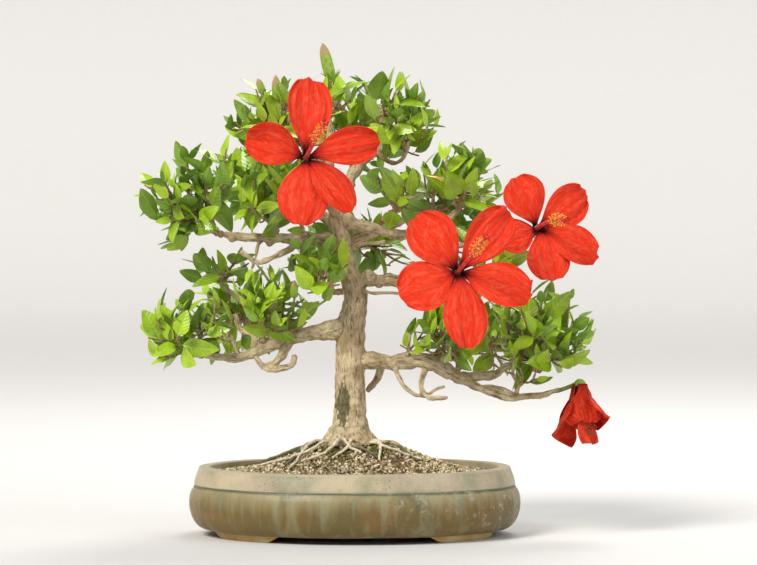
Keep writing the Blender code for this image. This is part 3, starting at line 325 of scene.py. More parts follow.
# room kept free round each throat, as the solids keep it
BLOOM_REACH = {"bloom_left_upper": 67.0 * 1.08, "bloom_right_middle": 70.0 * 1.08,
               "bloom_right_far": 60.0 * 1.08}

# finer twigs and the leaves they bear, which go on from the same rule
LEAFY_SPUR = 2.7
SIDE_TWIG_SPACING = (8.0, 11.0)   # for each finer set of twigs
SIDE_TWIG_LENGTH = (16.0, 32.0)
SIDE_TWIG_RADII = (1.1, 0.7)
SIDE_TWIG_FEET = (0.18, 0.92)
SIDE_TWIG_PULLS = (0.6, 0.85, 0.4, 0.2)   # along its parent, sideways, out of its mass and up
SIDE_TWIG_SAG = 0.08
SIDE_TWIG_RISE = 0.1
SIDE_TWIG_CLEARANCE = 1.0
TWIG_VIGOUR = (0.8, 1.2)
TWIG_AGE = 1.2
BARE_FOOT = 0.12               # share of a twig, from its foot, that bears no leaves
LEAF_NODES = 6                 # places for a leaf on a twig, from its tip down
LEAF_NODE_STEP = (2.6, 2.2)    # first distance between them, and more for each lower one
LEAF_SPREAD = (0.45, 0.22)     # radians a leaf turns out from its twig, and more for each lower one
LEAF_START = 17.0
LEAF_GROWTH = 4.2
LEAF_LONGEST = 34.0
LEAF_WIDTHS = (0.46, 0.66)
LEAF_LIFT = 0.22
LEAF_DRIFT = 0.55
LEAF_ROOM = 0.8
LEAF_CROWDING = 0.36
LEAF_FOLD = (0.10, 0.42)
LEAF_ARCH = (0.02, 0.24)
LEAF_WAVE = (0.0, 0.035)
LEAF_SWEEP = 0.10
LEAF_THICKNESS = 0.35
LEAF_ROWS = (0.07, 0.20, 0.36, 0.52, 0.66, 0.79, 0.90)
LEAF_HALVES = (0.40, 0.84, 1.00, 0.90, 0.72, 0.50, 0.26)
LEAF_COLUMNS = (-1.0, -0.5, 0.0, 0.5, 1.0)
MID_AGE, DEEP_AGE = 2.2, 5.0   # nodes down a twig at which its leaves darken
PETIOLE_RADIUS = 0.45
YELLOW_LEAF = (56.0, -42.0, 322.0)   # a leaf that has turned yellow
YELLOW_NEAR = 9.0

# --- blossom -----------------------------------------------------------------------------------
# each petal: its tip across, up and forward from the throat, and its shape: half width, how far its
# middle bellies forward, twist in degrees, and how much its edges roll forward
Petal = namedtuple("Petal", "across up tip_rise shape")
Bloom = namedtuple("Bloom", "name limb throat facing column petals")
BLOOMS = (
    Bloom("bloom_left_upper", "bough_front_upper", (-57, -92, 340), (0.20, -0.93, 0.30),
          (15.5, -47.0, 26.0), (
              Petal(1.7, 68.2, 4.0, (20.6, 5.0, 6.0, 0.06)),
              Petal(-53.3, 14.5, 3.0, (18.6, 6.0, -16.0, 0.12)),
              Petal(-6.1, -60.0, 2.0, (22.4, 5.0, 4.0, -0.03)),
              Petal(38.5, -48.1, 4.0, (17.0, 6.0, -14.0, 0.02)),
              Petal(63.0, 13.1, 8.0, (17.0, 4.0, 22.0, 0.05)))),
    Bloom("bloom_right_middle", "bough_front_right", (76, -98, 240), (0.20, -0.93, 0.28),
          (20.5, -46.0, 27.5), (
              Petal(-39.7, 46.6, 4.0, (22.8, 5.0, -8.0, 0.04)),
              Petal(-52.0, -22.1, 2.0, (23.2, 5.0, 10.0, 0.02)),
              Petal(7.0, -66.9, 0.0, (20.7, 6.0, -6.0, 0.00)),
              Petal(62.0, -22.7, 6.0, (21.0, 5.0, -12.0, 0.05)),
              Petal(43.6, 52.4, 8.0, (20.0, 3.0, 18.0, 0.05)))),
    Bloom("bloom_right_far", "bough_right_far", (149, -36, 278), (0.34, -0.88, 0.28),
          (19.5, -42.0, 6.0), (
              Petal(-23.4, 43.4, 5.0, (20.0, 5.0, -12.0, 0.04)),
              Petal(-37.0, -12.5, -4.0, (17.0, 4.0, 12.0, 0.00)),
              Petal(11.4, -47.6, 4.0, (20.4, 6.0, 0.0, -0.05)),
              Petal(51.7, -28.3, 4.0, (19.0, 5.0, -10.0, 0.04)),
              Petal(41.9, 30.3, 9.0, (19.0, 3.0, 20.0, 0.06)))),
)
PETAL_GRID = (34, 42)
PETAL_THICKNESS = 0.35
PETAL_WIDEST = 0.73
PETAL_ROUND = math.radians(56.0)   # how far round its lip a petal's grid reaches before its side
THROAT_DEPTH = 9.0
THROAT_RADIUS = 2.6
CALYX_LENGTH = 15.0
CALYX_LOBES = 5
CALYX = ((-27.0, 1.9), (-24.5, 3.6), (-21.0, 4.4), (-18.0, 4.4), (-15.5, 4.0))   # place, radius
CALYX_TEETH = 3.0
BRACTS = 7
BRACT_WIDTH = 0.18
STALK_STEPS = 3
STALK_RADIUS = 1.8
ANTHERS = 64
ANTHER_BAND = (0.60, 0.37)     # where the anthers start along the column, and their share of it
FILAMENT_REACH = (3.4, 6.0)
COLUMN_RADII = (2.2, 1.2)
COLUMN_SEED = 5
STIGMAS = 5
STIGMA_SIZE = (1.35, 1.35, 1.0)
STALK_COLOURS = {              # light and dark
    "stalk": ((0.24, 0.33, 0.05), (0.14, 0.22, 0.03)),
    "calyx": ((0.36, 0.50, 0.06), (0.20, 0.33, 0.03)),
    "column": ((0.72, 0.09, 0.06), (0.50, 0.02, 0.02)),
    "filament": ((0.90, 0.30, 0.16), (0.80, 0.16, 0.08)),
    "bud_tip": ((0.46, 0.27, 0.13), (0.38, 0.33, 0.09)),
}
STAMEN_COLOURS = {
    "spent_anther": ((0.42, 0.10, 0.03), (0.20, 0.04, 0.015)),
    "stigma": ((0.70, 0.03, 0.02), (0.45, 0.01, 0.01)),
}

WILTED_NAME = "bloom_wilted"
WILTED_LIMB = "bough_right_fork"
WILTED_TOP = (186, -18, 137)
WILTED_AXIS = (0.05, -0.15, -1.0)
WILTED_PETALS = (              # tip from the top, and shape as in the open blooms
    ((-25, -12, -46), (19.0, 2.0, 24.0, 0.24)),
    ((26, -10, -30), (17.5, 2.0, -26.0, 0.20)),
    ((13, -10, -53), (13.5, 2.0, 14.0, 0.14)),
    ((-6, 14, -42), (18.0, 2.0, 0.0, 0.14)),
    ((5, -19, -33), (17.0, 2.0, -12.0, 0.24)),
)
WILTED_GRID = (34, 38)
WILTED_MOUTH = 6.5             # radius of the bell where its petals start
WILTED_FOOT = 1.6
WILTED_CRUMPLE = 1.3
WILTED_CALYX = ((-4.5, 1.7), (-3.2, 3.6), (-1.5, 5.0), (0.6, 5.4))
WILTED_TEETH = 2.0
SPENT_SEED = 31
SPENT_ANTHERS = 46
SPENT_SPREAD = 3.2
SPENT_ANTHERS_AT = (7.0, -14.0, -41.0)

# limb or twig end that carries it, base, tip and radius
Bud = namedtuple("Bud", "foot base tip radius")
BUDS = (
    Bud((-40, 4, 384), (-37, -2, 410), (-45, -4, 443), 5.2),
    Bud((-92, 0, 364), (-84, -8, 384), (-87, -10, 414), 4.6),
    Bud((-92, 0, 366), (-98, -6, 397), (-103, -8, 411), 3.4),
    Bud((-72, -14, 196), (-70, -18, 214), (-70, -18, 230), 3.4),
    Bud((-74, -14, 190), (-42, -22, 212), (-36, -24, 230), 4.6),
)
BUD_SEED = 77
BUD_SIDES = 20
BUD_STALK_RADII = (1.3, 1.0)
BUD_ROOM = 3.5
BUD_MASSES = ("foliage_apex", "foliage_left_shoulder", "foliage_left_low")
BUD_OUTLINE = (                # share of its length, share of its radius
    (0.0, 0.35), (0.06, 0.8), (0.16, 0.97), (0.32, 1.0), (0.5, 0.98), (0.66, 0.92), (0.8, 0.74),
    (0.92, 0.42), (1.0, 0.05),
)

# --- colours that stay with their surfaces ------------------------------------------------------
BARK_PALE = (0.88, 0.73, 0.46)
BARK_TAN = (0.54, 0.41, 0.215)
BARK_OCHRE = (0.44, 0.30, 0.13)
BARK_GREY = (0.32, 0.29, 0.22)
BARK_DARK = (0.11, 0.072, 0.035)
MOSS_DARK = (0.105, 0.105, 0.04)
TWIG_BROWN = (0.20, 0.11, 0.055)
TWIG_PALE = (0.46, 0.34, 0.20)
LEAF_RIB = (0.50, 0.62, 0.16)
LEAF_GOLD = (0.95, 0.58, 0.01)
LEAF_AMBER = (0.85, 0.42, 0.01)
LEAF_BACK = (0.32, 0.50, 0.08)
LEAF_BACK_DARK = (0.20, 0.36, 0.05)
PETAL_THROAT = (0.36, 0.004, 0.004)
PETAL_EYE = (0.055, 0.0, 0.003)
GLAZE_WARMTH = (1.35, 1.12, 0.9)
GLAZE_SHADE = (0.10, 0.09, 0.032)
GLAZE_UPPER = (0.33, 0.28, 0.145)
GLAZE_GREEN = (0.25, 0.265, 0.145)
GLAZE_SALT = (0.44, 0.41, 0.32)
GLAZE_ROSE = (0.40, 0.30, 0.22)
GLAZE_DRIP = (0.17, 0.23, 0.15)
GLAZE_GROOVE = (0.06, 0.095, 0.05)
GLAZE_SPECK = (0.10, 0.045, 0.02)
GLAZE_STAIN = (0.23, 0.12, 0.055)
GLAZE_LIP = (0.42, 0.36, 0.26)
CLAY_OCHRE = (0.54, 0.34, 0.11)
CLAY_PALE = (0.62, 0.49, 0.26)
CLAY_DARK = (0.22, 0.14, 0.06)
ROOT_PALE = (0.80, 0.72, 0.55)
ROOT_SHADE = (0.50, 0.42, 0.28)

# --- stage, in metres --------------------------------------------------------------------------
FLOOR_HALF = 8.0
BACKDROP_Y = 6.0
BACKDROP_BEND = 2.0
CAMERA_PLACE = (0.00585, -3.0, 0.299)
CAMERA_AIM = (0.00585, 0.0, 0.2276)
CAMERA_LENS = 158.6
CAMERA_SIGHT = 20.0
LAMPS = (                      # kind, place, height aimed at, its angle or size, power, colour
    ("SUN", (-1.3, -1.5, 2.0), 0.2, math.radians(22.0), 2.9, (1.0, 0.96, 0.90)),
    ("AREA", (1.7, -1.3, 1.2), 0.2, 1.6, 17.0, (0.95, 0.97, 1.0)),
    ("AREA", (0.4, 1.3, 1.9), 0.25, 1.0, 24.0, (1.0, 0.98, 0.95)),
)
SKY_COLOUR = (0.90, 0.93, 1.0)
SKY_POWER = 0.37


# --- lines and the plant's own rule of growth --------------------------------------------------
def smooth_line(knots, spacing):
    """Points at about an even spacing on a Catmull-Rom curve through the knots (any dimension)."""
    knots = [tuple(float(value) for value in knot) for knot in knots]
    ends = [tuple(2 * a - b for a, b in zip(knots[0], knots[1]))]
    tail = [tuple(2 * a - b for a, b in zip(knots[-1], knots[-2]))]
    padded = ends + knots + tail
    points = []
    for index in range(1, len(padded) - 2):
        before, start, end, after = padded[index - 1:index + 3]
        steps = max(1, round(math.dist(start[:3], end[:3]) / spacing))
        for step in range(steps):
            t = step / steps
            points.append(tuple(
                0.5 * (2 * b + (c - a) * t + (2 * a - 5 * b + 4 * c - d) * t * t
                       + (3 * b - a - 3 * c + d) * t ** 3)
                for a, b, c, d in zip(before, start, end, after)))
    points.append(knots[-1])
    return points


def bent_line(start, middle, end, steps):
    """Points on a quadratic curve."""
    return [start * (1 - t) ** 2 + middle * 2 * t * (1 - t) + end * t * t
            for t in (step / steps for step in range(steps + 1))]


def taper(radii, count):
    """Radii that thin evenly from the foot to the tip."""
    foot, tip = radii
    return [foot + (tip - foot) * index / (count - 1) for index in range(count)]


def limb_line(limb):
    points = finely(limb.path, LIMB_SPACING)
    return points, taper(limb.radii, len(points))


def wood_lines():
    """Centre lines and radii of everything woody that foliage has to keep clear of."""
    lines = {limb.name: limb_line(limb) for limb in LIMBS}
    trunk = smooth_line(TRUNK_LINE, TRUNK_RING_SPACING)
    lines["trunk"] = ([Vector(point[:3]) for point in trunk], [point[3] for point in trunk])
    return lines


def bud_lines():
    """Lines through the buds, fat enough to keep leaves off them."""
    return {f"bud_{number}": ([Vector(bud.base), Vector(bud.tip)], [bud.radius + BUD_ROOM] * 2)
            for number, bud in enumerate(BUDS)}


class Space:
    """Tests places against a mass's own room, the wood and the open blooms."""

    def __init__(self, mass, lines):
        self.own = MASSES.index(mass)
        self.centres = np.array([other.centre for other in MASSES], float)
        self.halves = np.array([other.half for other in MASSES], float)
        starts, ends, radii = [], [], []
        for points, thick in lines.values():
            starts += points[:-1]
            ends += points[1:]
            radii += thick[:len(points) - 1]
        self.starts = np.array(starts, float)
        self.runs = np.array(ends, float) - self.starts
        self.squares = np.maximum((self.runs ** 2).sum(1), 1e-9)
        self.radii = np.array(radii, float)

    def in_room(self, places):
        """True inside the mass's own ellipsoid and nearer to it than to any other mass."""
        offsets = (places[:, None] - self.centres) / self.halves
        distances = np.sqrt((offsets ** 2).sum(2))
        own = distances[:, self.own].copy()
        distances[:, self.own] = np.inf
        return (own <= SPACE_REACH) & (own < distances.min(1) - SPACE_MARGIN)

    def before_bloom(self, places):
        """True where a leaf would stand in or before an open bloom."""
        blocked = np.zeros(len(places), bool)
        for bloom in BLOOMS:
            axis = np.array(Vector(bloom.facing).normalized())
            offsets = places - np.array(bloom.throat, float)
            ahead = offsets @ axis
            aside = np.linalg.norm(offsets - ahead[:, None] * axis, axis=1)
            reach = BLOOM_REACH[bloom.name]
            blocked |= (ahead > -KEEP_CLEAR_BEHIND) & (ahead < KEEP_CLEAR_BEFORE) & (aside < reach)
        return blocked

    def wood_gap(self, places):
        """Distance from each place to the nearest wood."""
        offsets = places[:, None] - self.starts
        shares = np.clip((offsets * self.runs).sum(2) / self.squares, 0.0, 1.0)
        nearest = offsets - shares[..., None] * self.runs
        return (np.linalg.norm(nearest, axis=2) - self.radii).min(1)

    def free(self, places, margin):
        places = np.array(places, float).reshape(-1, 3)
        return self.in_room(places) & ~self.before_bloom(places) & (self.wood_gap(places) > margin)


def tip_foot(points, radii):
    """Where a shoot that goes on from a limb's tip starts, its direction and its thickness."""
    along = (points[-1] - points[-2]).normalized()
    return points[-1] + along * GAP, along, radii[-1] * SHOOT_SLIMMING


def side_foot(points, radii, share, heart):
    """The same for a shoot that leaves the side of a limb towards the heart of its mass."""
    index = min(int(share * (len(points) - 1)), len(points) - 2)
    axis = (points[index + 1] - points[index]).normalized()
    middle = (points[index] + points[index + 1]) / 2
    outward = heart - middle
    outward = (outward - axis * outward.dot(axis)).normalized()
    return middle + outward * (radii[index] + 2 * GAP), outward, SIDE_STEM_RADIUS


def shoot_line(foot, along, end, steps):
    """A shoot that starts square to its foot and bends to its end."""
    turn = foot + along * (end - foot).length * SHOOT_TURN
    line = bent_line(foot, turn, end, steps)
    line.insert(1, foot + along * STRAIGHT_START)
    return line


def stem_line(mass, lines):
    """The stem of a mass, from its limb to the heart of its space."""
    points, radii = lines[mass.limb]
    heart = Vector(mass.centre) - UP * mass.half[2] * HEART_DROP
    if mass.at == 1.0:
        foot, along, radius = tip_foot(points, radii)
    else:
        foot, along, radius = side_foot(points, radii, mass.at, heart)
    heart.z = max(heart.z, foot.z + LEAST_RISE)
    line = shoot_line(foot, along, heart, STEM_STEPS)
    return line, taper((radius, TWIG_RADII[0]), len(line))


def targets(mass, heart, rng):
    """Ends of the twigs: short of the named tips, then spread evenly over the space."""
    middle = Vector(mass.centre)
    ends = []
    for tip in mass.tips:
        outward = (Vector(tip) - heart).normalized()
        ends.append(Vector(tip) - outward * SOLID_LEAF_LENGTH)
    turn = rng.uniform(0.0, math.tau)
    spread = TWIGS_PER_MASS - len(ends)
    for number in range(spread):
        level = TWIG_LEVELS[0] - TWIG_LEVELS[1] * (number + 0.5) / spread
        ring = math.sqrt(1.0 - level * level)
        angle = turn + number * GOLDEN_ANGLE
        reach = rng.uniform(*TWIG_REACH)
        direction = (ring * math.cos(angle), ring * math.sin(angle), level)
        ends.append(middle + Vector([a * b * reach for a, b in zip(direction, mass.half)]))
    return ends


def turned(axis, angle):
    """A direction square to an axis, turned about it."""
    return Matrix.Rotation(angle, 3, axis) @ axis.orthogonal().normalized()


def finely(line, spacing):
    """The same line as vectors at an even spacing."""
    return [Vector(point) for point in smooth_line(line, spacing)]


def along_line(line, share):
    """Place and direction at a share of a line's points."""
    if share == 1.0:
        return line[-1], (line[-1] - line[-2]).normalized()
    position = share * (len(line) - 1)
    index = min(int(position), len(line) - 2)
    step = line[index + 1] - line[index]
    return line[index] + step * (position - index), step.normalized()


def grow_twigs(mass, stem, space, rng):
    """Twigs that leave the outer part of the stem and turn up towards their ends."""
    twigs = []
    for end in targets(mass, stem[-1], rng):
        share = 1.0 if not twigs else rng.uniform(*TWIG_FEET)
        foot, _ = along_line(stem, share)
        middle = (foot + end) / 2 - UP * (end - foot).length * rng.uniform(*TWIG_SAG)
        line = bent_line(foot, middle, end, TWIG_STEPS)
        if space.free(line[1:], LEAF_CLEARANCE).all():
            twigs.append(finely(line, TWIG_SPACING))
    return twigs


def grow_side_twigs(parents, heart, space, rng, spacing):
    """Finer twigs from every twig, turned on by the golden angle and bending up."""
    finer = []
    for line in parents:
        length = sum((b - a).length for a, b in zip(line, line[1:]))
        turn = rng.uniform(0.0, math.tau)
        for number in range(int(length / spacing)):
            foot, along = along_line(line, rng.uniform(*SIDE_TWIG_FEET))
            side = Matrix.Rotation(turn + number * GOLDEN_ANGLE, 3, along) @ along.orthogonal()
            reach = rng.uniform(*SIDE_TWIG_LENGTH)
            away = (foot - heart).normalized()
            pulls = zip((along, side.normalized(), away, UP), SIDE_TWIG_PULLS)
            heading = sum((way * pull for way, pull in pulls), Vector()).normalized()
            bend = foot + heading * reach * 0.5 - UP * reach * SIDE_TWIG_SAG
            side_line = bent_line(foot, bend, foot + heading * reach + UP * reach * SIDE_TWIG_RISE, 4)
            if space.free(side_line[2:], SIDE_TWIG_CLEARANCE).all():
                finer.append(side_line)
    return finer


# --- meshes made from arrays -------------------------------------------------------------------
class Heap:
    """Gathers many small shapes into one mesh that wears the named finishes."""

    def __init__(self, *finishes):
        self.slots = {name: number for number, name in enumerate(finishes)}
        self.places = []
        self.faces = []
        self.tints = []
        self.marks = []
        self.count = 0

    def add(self, places, faces, marks=None, tint=None):
        """Adds a shape: its places, faces, map, and the name of its finish or of each face's."""
        places = np.asarray(places, float)
        self.places.append(places)
        self.faces += [tuple(corner + self.count for corner in face) for face in faces]
        tints = tint if isinstance(tint, list) else [tint] * len(faces)
        self.tints += [self.slots.get(name, 0) for name in tints]
        self.marks.append(np.zeros((len(places), 2)) if marks is None else np.asarray(marks, float))
        self.count += len(places)

    def tube(self, line, ends, sides, tint=None):
        """Adds a tube that tapers evenly from end to end."""
        self.add(*tube_shape(line, taper(ends, len(line)), sides), tint)

    def piece(self, name, materials, smooth_angle=35.0):
        """The finished object, with its marks as a UV map."""
        mesh = bpy.data.meshes.new(name)
        places = (np.concatenate(self.places) + np.array(PLANT_SHIFT)) * MM
        mesh.from_pydata(places, [], self.faces)
        mesh.polygons.foreach_set("material_index", np.array(self.tints, np.int32))
        corners = np.zeros(len(mesh.loops), np.int32)
        mesh.loops.foreach_get("vertex_index", corners)
        marks = mesh.uv_layers.new(name="UVMap")
        marks.data.foreach_set("uv", np.concatenate(self.marks)[corners].astype(np.float32).ravel())
        for finish in self.slots:
            mesh.materials.append(materials[finish])
        if smooth_angle:
            mesh.shade_smooth()
            mesh.set_sharp_from_angle(angle=math.radians(smooth_angle))
        item = bpy.data.objects.new(name, mesh)
        bpy.context.scene.collection.objects.link(item)
        return item


def side_frames(points):
    """Two directions across a line at each of its points, carried along without twisting."""
    tangents = []
    for index in range(len(points)):
        step = points[min(index + 1, len(points) - 1)] - points[max(index - 1, 0)]
        tangents.append(step.normalized())
    side = tangents[0].orthogonal().normalized()
    frames = []
    for tangent in tangents:
        side = (side - tangent * side.dot(tangent)).normalized()
        frames.append((side.copy(), tangent.cross(side)))
    return frames


def tube_shape(points, radii, sides):
    """Places, faces and marks of a tapering tube with closed ends."""
    places = []
    marks = []
    travelled = 0.0
    for index, ((side, over), point, radius) in enumerate(zip(side_frames(points), points, radii)):
        travelled += (point - points[max(index - 1, 0)]).length
        for corner in range(sides):
            angle = math.tau * corner / sides
            places.append(point + (side * math.cos(angle) + over * math.sin(angle)) * radius)
            marks.append((corner / sides, travelled * 0.05))
    faces = []
    for ring in range(len(points) - 1):
        for corner in range(sides):
            after = (corner + 1) % sides
            low = ring * sides
            high = low + sides
            faces.append((low + corner, low + after, high + after, high + corner))
    last = (len(points) - 1) * sides
    faces.append(tuple(reversed(range(sides))))
    faces.append(tuple(range(last, last + sides)))
    return places, faces, marks


def leaf_template():
    """A pointed oval leaf one unit long and wide: five columns above, a single fold below."""
    places = [(0.0, 0.0, 0.0)]
    for row, half in zip(LEAF_ROWS, LEAF_HALVES):
        for column in LEAF_COLUMNS:
            tooth = 0.03 * abs(column) if abs(column) > 0.9 and row > 0.4 else 0.0
            places.append((column * half, row + tooth, 0.0))
        places.append((0.0, row, -1.0))
    places.append((0.0, 1.0, 0.0))
    columns = len(LEAF_COLUMNS)
    stride = columns + 1
    faces = []
    under = []
    first, tip = 1, len(places) - 1
    for column in range(columns - 1):
        faces.append((0, first + column + 1, first + column))
    under += [(0, first, first + columns), (0, first + columns, first + columns - 1)]
    for row in range(len(LEAF_ROWS) - 1):
        low = first + row * stride
        high = low + stride
        for column in range(columns - 1):
            faces.append((low + column, low + column + 1, high + column + 1, high + column))
        under.append((low, high, high + columns, low + columns))
        under.append((low + columns, high + columns, high + columns - 1, low + columns - 1))
    low = first + (len(LEAF_ROWS) - 1) * stride
    for column in range(columns - 1):
        faces.append((low + column, low + column + 1, tip))
    under += [(low, tip, low + columns), (low + columns, tip, low + columns - 1)]
    return np.array(places), faces, under


LEAF_PLACES, LEAF_FACES, LEAF_UNDER = leaf_template()


def leaf_frame(foot, direction, face_to):
    """Directions across, along and out of a leaf laid along a direction, its face to another."""
    length = direction.normalized()
    across = length.cross(face_to)
    if across.length < 0.1:
        across = length.orthogonal()
    across.normalize()
    return foot, across, length, across.cross(length).normalized()


def add_leaf(heap, placed, length, width, tint, rng, under="leaf_under"):
    """One leaf: folded up along its rib, arched back, with a slight wave in its edges."""
    foot, across, along, face = placed
    x, y, low = LEAF_PLACES.T
    fold = rng.uniform(*LEAF_FOLD)
    arch = rng.uniform(*LEAF_ARCH)
    wave = rng.uniform(*LEAF_WAVE)
    phase = rng.uniform(0.0, math.tau)
    wide = x * width * length / 2
    rise = fold * np.abs(wide) * (1.0 - 0.3 * y) - arch * length * y ** 2
    rise += wave * length * np.abs(x) * np.sin(y * 9.0 + phase + 2.0 * (x > 0)) + low * LEAF_THICKNESS
    sweep = rng.uniform(-LEAF_SWEEP, LEAF_SWEEP) * length * y ** 2
    places = (np.array(foot) + np.outer(wide + sweep, across) + np.outer(y * length, along)
              + np.outer(rise, face))
    marks = np.stack(((x + 1.0) / 2, y), 1)
    tints = [tint] * len(LEAF_FACES) + [under] * len(LEAF_UNDER)
    heap.add(places, LEAF_FACES + LEAF_UNDER, marks, tints)


def leaf_samples(placed, length, width):
    """Places on a leaf that have to be free."""
    foot, across, along, _ = placed
    half = across * length * width / 2
    return [foot + along * length * 0.45, foot + along * length * 0.4 + half,
            foot + along * length * 0.4 - half, foot + along * length * 0.75,
            foot + along * length * 0.95]


def dress_twig(line, mass, space, leaves, twigs, taken, rng):
    """Leaves down one twig from its tip: small, young and upright first, then larger and wider.

    Tells whether the twig bears any.
    """
    first = len(taken)
    turn = rng.uniform(0.0, math.tau)
    lengths = [(b - a).length for a, b in zip(line, line[1:])]
    total = sum(lengths)
    vigour = rng.uniform(*TWIG_VIGOUR)
    age = rng.uniform(-TWIG_AGE, TWIG_AGE)
    back = 0.0
    for node in range(LEAF_NODES):
        share = 1.0 - back / total
        back += LEAF_NODE_STEP[0] + LEAF_NODE_STEP[1] * node
        if share < BARE_FOOT:
            break
        foot, along = along_line(line, share)
        side = turned(along, turn + node * GOLDEN_ANGLE)
        spread = LEAF_SPREAD[0] + LEAF_SPREAD[1] * node + rng.uniform(-0.12, 0.18)
        direction = along * math.cos(spread) + side * math.sin(spread) + UP * LEAF_LIFT
        outward = (foot - Vector(mass.centre)).normalized()
        drift = Vector([rng.uniform(-LEAF_DRIFT, LEAF_DRIFT) for _ in range(3)])
        length = min((LEAF_START + LEAF_GROWTH * node) * vigour * rng.uniform(0.85, 1.15), LEAF_LONGEST)
        width = rng.uniform(*LEAF_WIDTHS) * (0.85 if node < 2 else 1.0)
        petiole = 0.5 + 0.10 * length if node > 1 else 0.3
        foot_of_leaf = foot + direction.normalized() * petiole
        placed = leaf_frame(foot_of_leaf, direction, UP * 0.6 + outward * 0.6 + drift)
        if not space.free(leaf_samples(placed, length, width), LEAF_ROOM).all():
            continue
        middle = foot_of_leaf + placed[2] * length / 2
        if node and any((middle - other).length < LEAF_CROWDING * (length + size) / 2
                        for other, size in taken):
            continue
        taken.append((middle, length))
        ripe = node + age + rng.uniform(-0.8, 0.8)
        tint = "leaf_young" if ripe < MID_AGE else "leaf_mid" if ripe < DEEP_AGE else "leaf_deep"
        if (middle - Vector(YELLOW_LEAF)).length < YELLOW_NEAR:
            tint = "leaf_yellow"
        add_leaf(leaves, placed, length, width, tint, rng)
        if petiole > 1.0:
            stalk = [foot, foot_of_leaf + placed[2] * 0.5]
            twigs.add(*tube_shape(stalk, (PETIOLE_RADIUS * 1.2, PETIOLE_RADIUS), 3), "petiole")
    return len(taken) > first


def add_twig(heap, line, ends, spacing, sides, rng):
    """A twig with the rings of its old leaf scars."""
    smooth = finely(line, spacing)
    radii = [radius * (1.0 + (0.22 if index % 2 else -0.06) + rng.uniform(-0.06, 0.06))
             for index, radius in enumerate(taper(ends, len(smooth)))]
    heap.add(*tube_shape(smooth, radii, sides), "twig")


def grow_mass(mass, lines, materials):
    """One mass: its stem and twigs as in the solids, then finer twigs and the leaves."""
    seed = FOLIAGE_SEED + 10 * MASSES.index(mass)
    stem, radii = lines["stem_" + mass.name]
    others = {name: line for name, line in lines.items() if name != "stem_" + mass.name}
    space = Space(mass, others)
    twigs = grow_twigs(mass, stem, space, random.Random(seed))
    leaf_space = Space(mass, {**others, **bud_lines()})
    rng = random.Random(seed + 2)
    # thin shoots on the boughs bear leaves too, where the mass has room for them
    spurs = [finely(path, TWIG_SPACING) for ends, path in SPURS if ends[0] < LEAFY_SPUR]
    spurs = [line for line in spurs if space.in_room(np.array([line[-1]], float)).all()]
    parents = twigs + [stem[len(stem) // 2:]] + spurs
    finer = []
    for spacing in SIDE_TWIG_SPACING:
        parents = grow_side_twigs(parents, Vector(mass.centre), space, rng, spacing)
        finer += parents
    wood = Heap("twig", "petiole")
    leaves = Heap("leaf_young", "leaf_mid", "leaf_deep", "leaf_yellow", "leaf_under")
    add_twig(wood, stem, (radii[0] * STEM_SWELL, TWIG_RADII[0]), 2.5, 7, rng)
    for line in twigs:
        add_twig(wood, line, TWIG_RADII, 2.2, 6, rng)
    taken = []
    for line in twigs + spurs:
        dress_twig(line, mass, leaf_space, leaves, wood, taken, rng)
    for line in finer:
        if dress_twig(line, mass, leaf_space, leaves, wood, taken, rng):
            add_twig(wood, line, SIDE_TWIG_RADII, 2.6, 5, rng)
    return (wood.piece(mass.name.replace("foliage", "twigs"), materials),
            leaves.piece(mass.name.replace("foliage", "leaves"), materials, smooth_angle=22.0),
            len(taken))


# --- modelling helpers -------------------------------------------------------------------------
def pick(item):
    """Makes an object the only selected and the active one."""
    bpy.ops.object.select_all(action="DESELECT")
    item.select_set(True)
    bpy.context.view_layer.objects.active = item


def primitive(add, **values):
    """Adds a primitive with nothing else selected, its place kept in its mesh."""
    bpy.ops.object.select_all(action="DESELECT")
    add(**values)
    bpy.ops.object.transform_apply(location=True, rotation=False, scale=False)
    return bpy.context.object


def apply_modifier(item, kind, **values):
    modifier = item.modifiers.new(kind.title(), kind)
    for name, value in values.items():
        setattr(modifier, name, value)
    pick(item)
    bpy.ops.object.modifier_apply(modifier=modifier.name)


def join(items, name):
    """Joins objects into the first and names it."""
    pick(items[0])
    for item in items:
        item.select_set(True)
    bpy.ops.object.join()
    items[0].name = name
    return items[0]


def places_of(item):
    """The object's vertices as an array, in the plant's millimetres."""
    flat = np.zeros(len(item.data.vertices) * 3, np.float64)
    item.data.vertices.foreach_get("co", flat)
    return flat.reshape(-1, 3) / MM - np.array(PLANT_SHIFT)


def move_to(item, places):
    item.data.vertices.foreach_set("co", ((places + np.array(PLANT_SHIFT)) * MM).ravel())
    item.data.update()


def ring_up(name, rings, sides, capped=True):
    """A stack of rings drawn up by extruding from a circle: each is (x, y, z, radius).

    Without caps the last ring has to meet the first, and the two are welded.
    """
    x, y, z, radius = rings[0]
    before = Vector((x, y, z))
    item = primitive(bpy.ops.mesh.primitive_circle_add, vertices=sides, radius=radius * MM,
                     fill_type="NGON" if capped else "NOTHING", location=(before + PLANT_SHIFT) * MM)
    item.name = name
    extrude = bpy.ops.mesh.extrude_region_move if capped else bpy.ops.mesh.extrude_edges_move
    bpy.ops.object.mode_set(mode="EDIT")
    bpy.ops.mesh.select_all(action="SELECT")
    for x, y, z, wide in rings[1:]:
        place = Vector((x, y, z))
        extrude(TRANSFORM_OT_translate={"value": (place - before) * MM})
        ratio = wide / radius
        bpy.ops.transform.resize(value=(ratio, ratio, 1.0), center_override=(place + PLANT_SHIFT) * MM)
        before, radius = place, wide
    bpy.ops.mesh.select_all(action="SELECT")
    if not capped:
        bpy.ops.mesh.remove_doubles(threshold=WELD_DISTANCE)
    bpy.ops.mesh.normals_make_consistent(inside=False)
    bpy.ops.object.mode_set(mode="OBJECT")
    return item


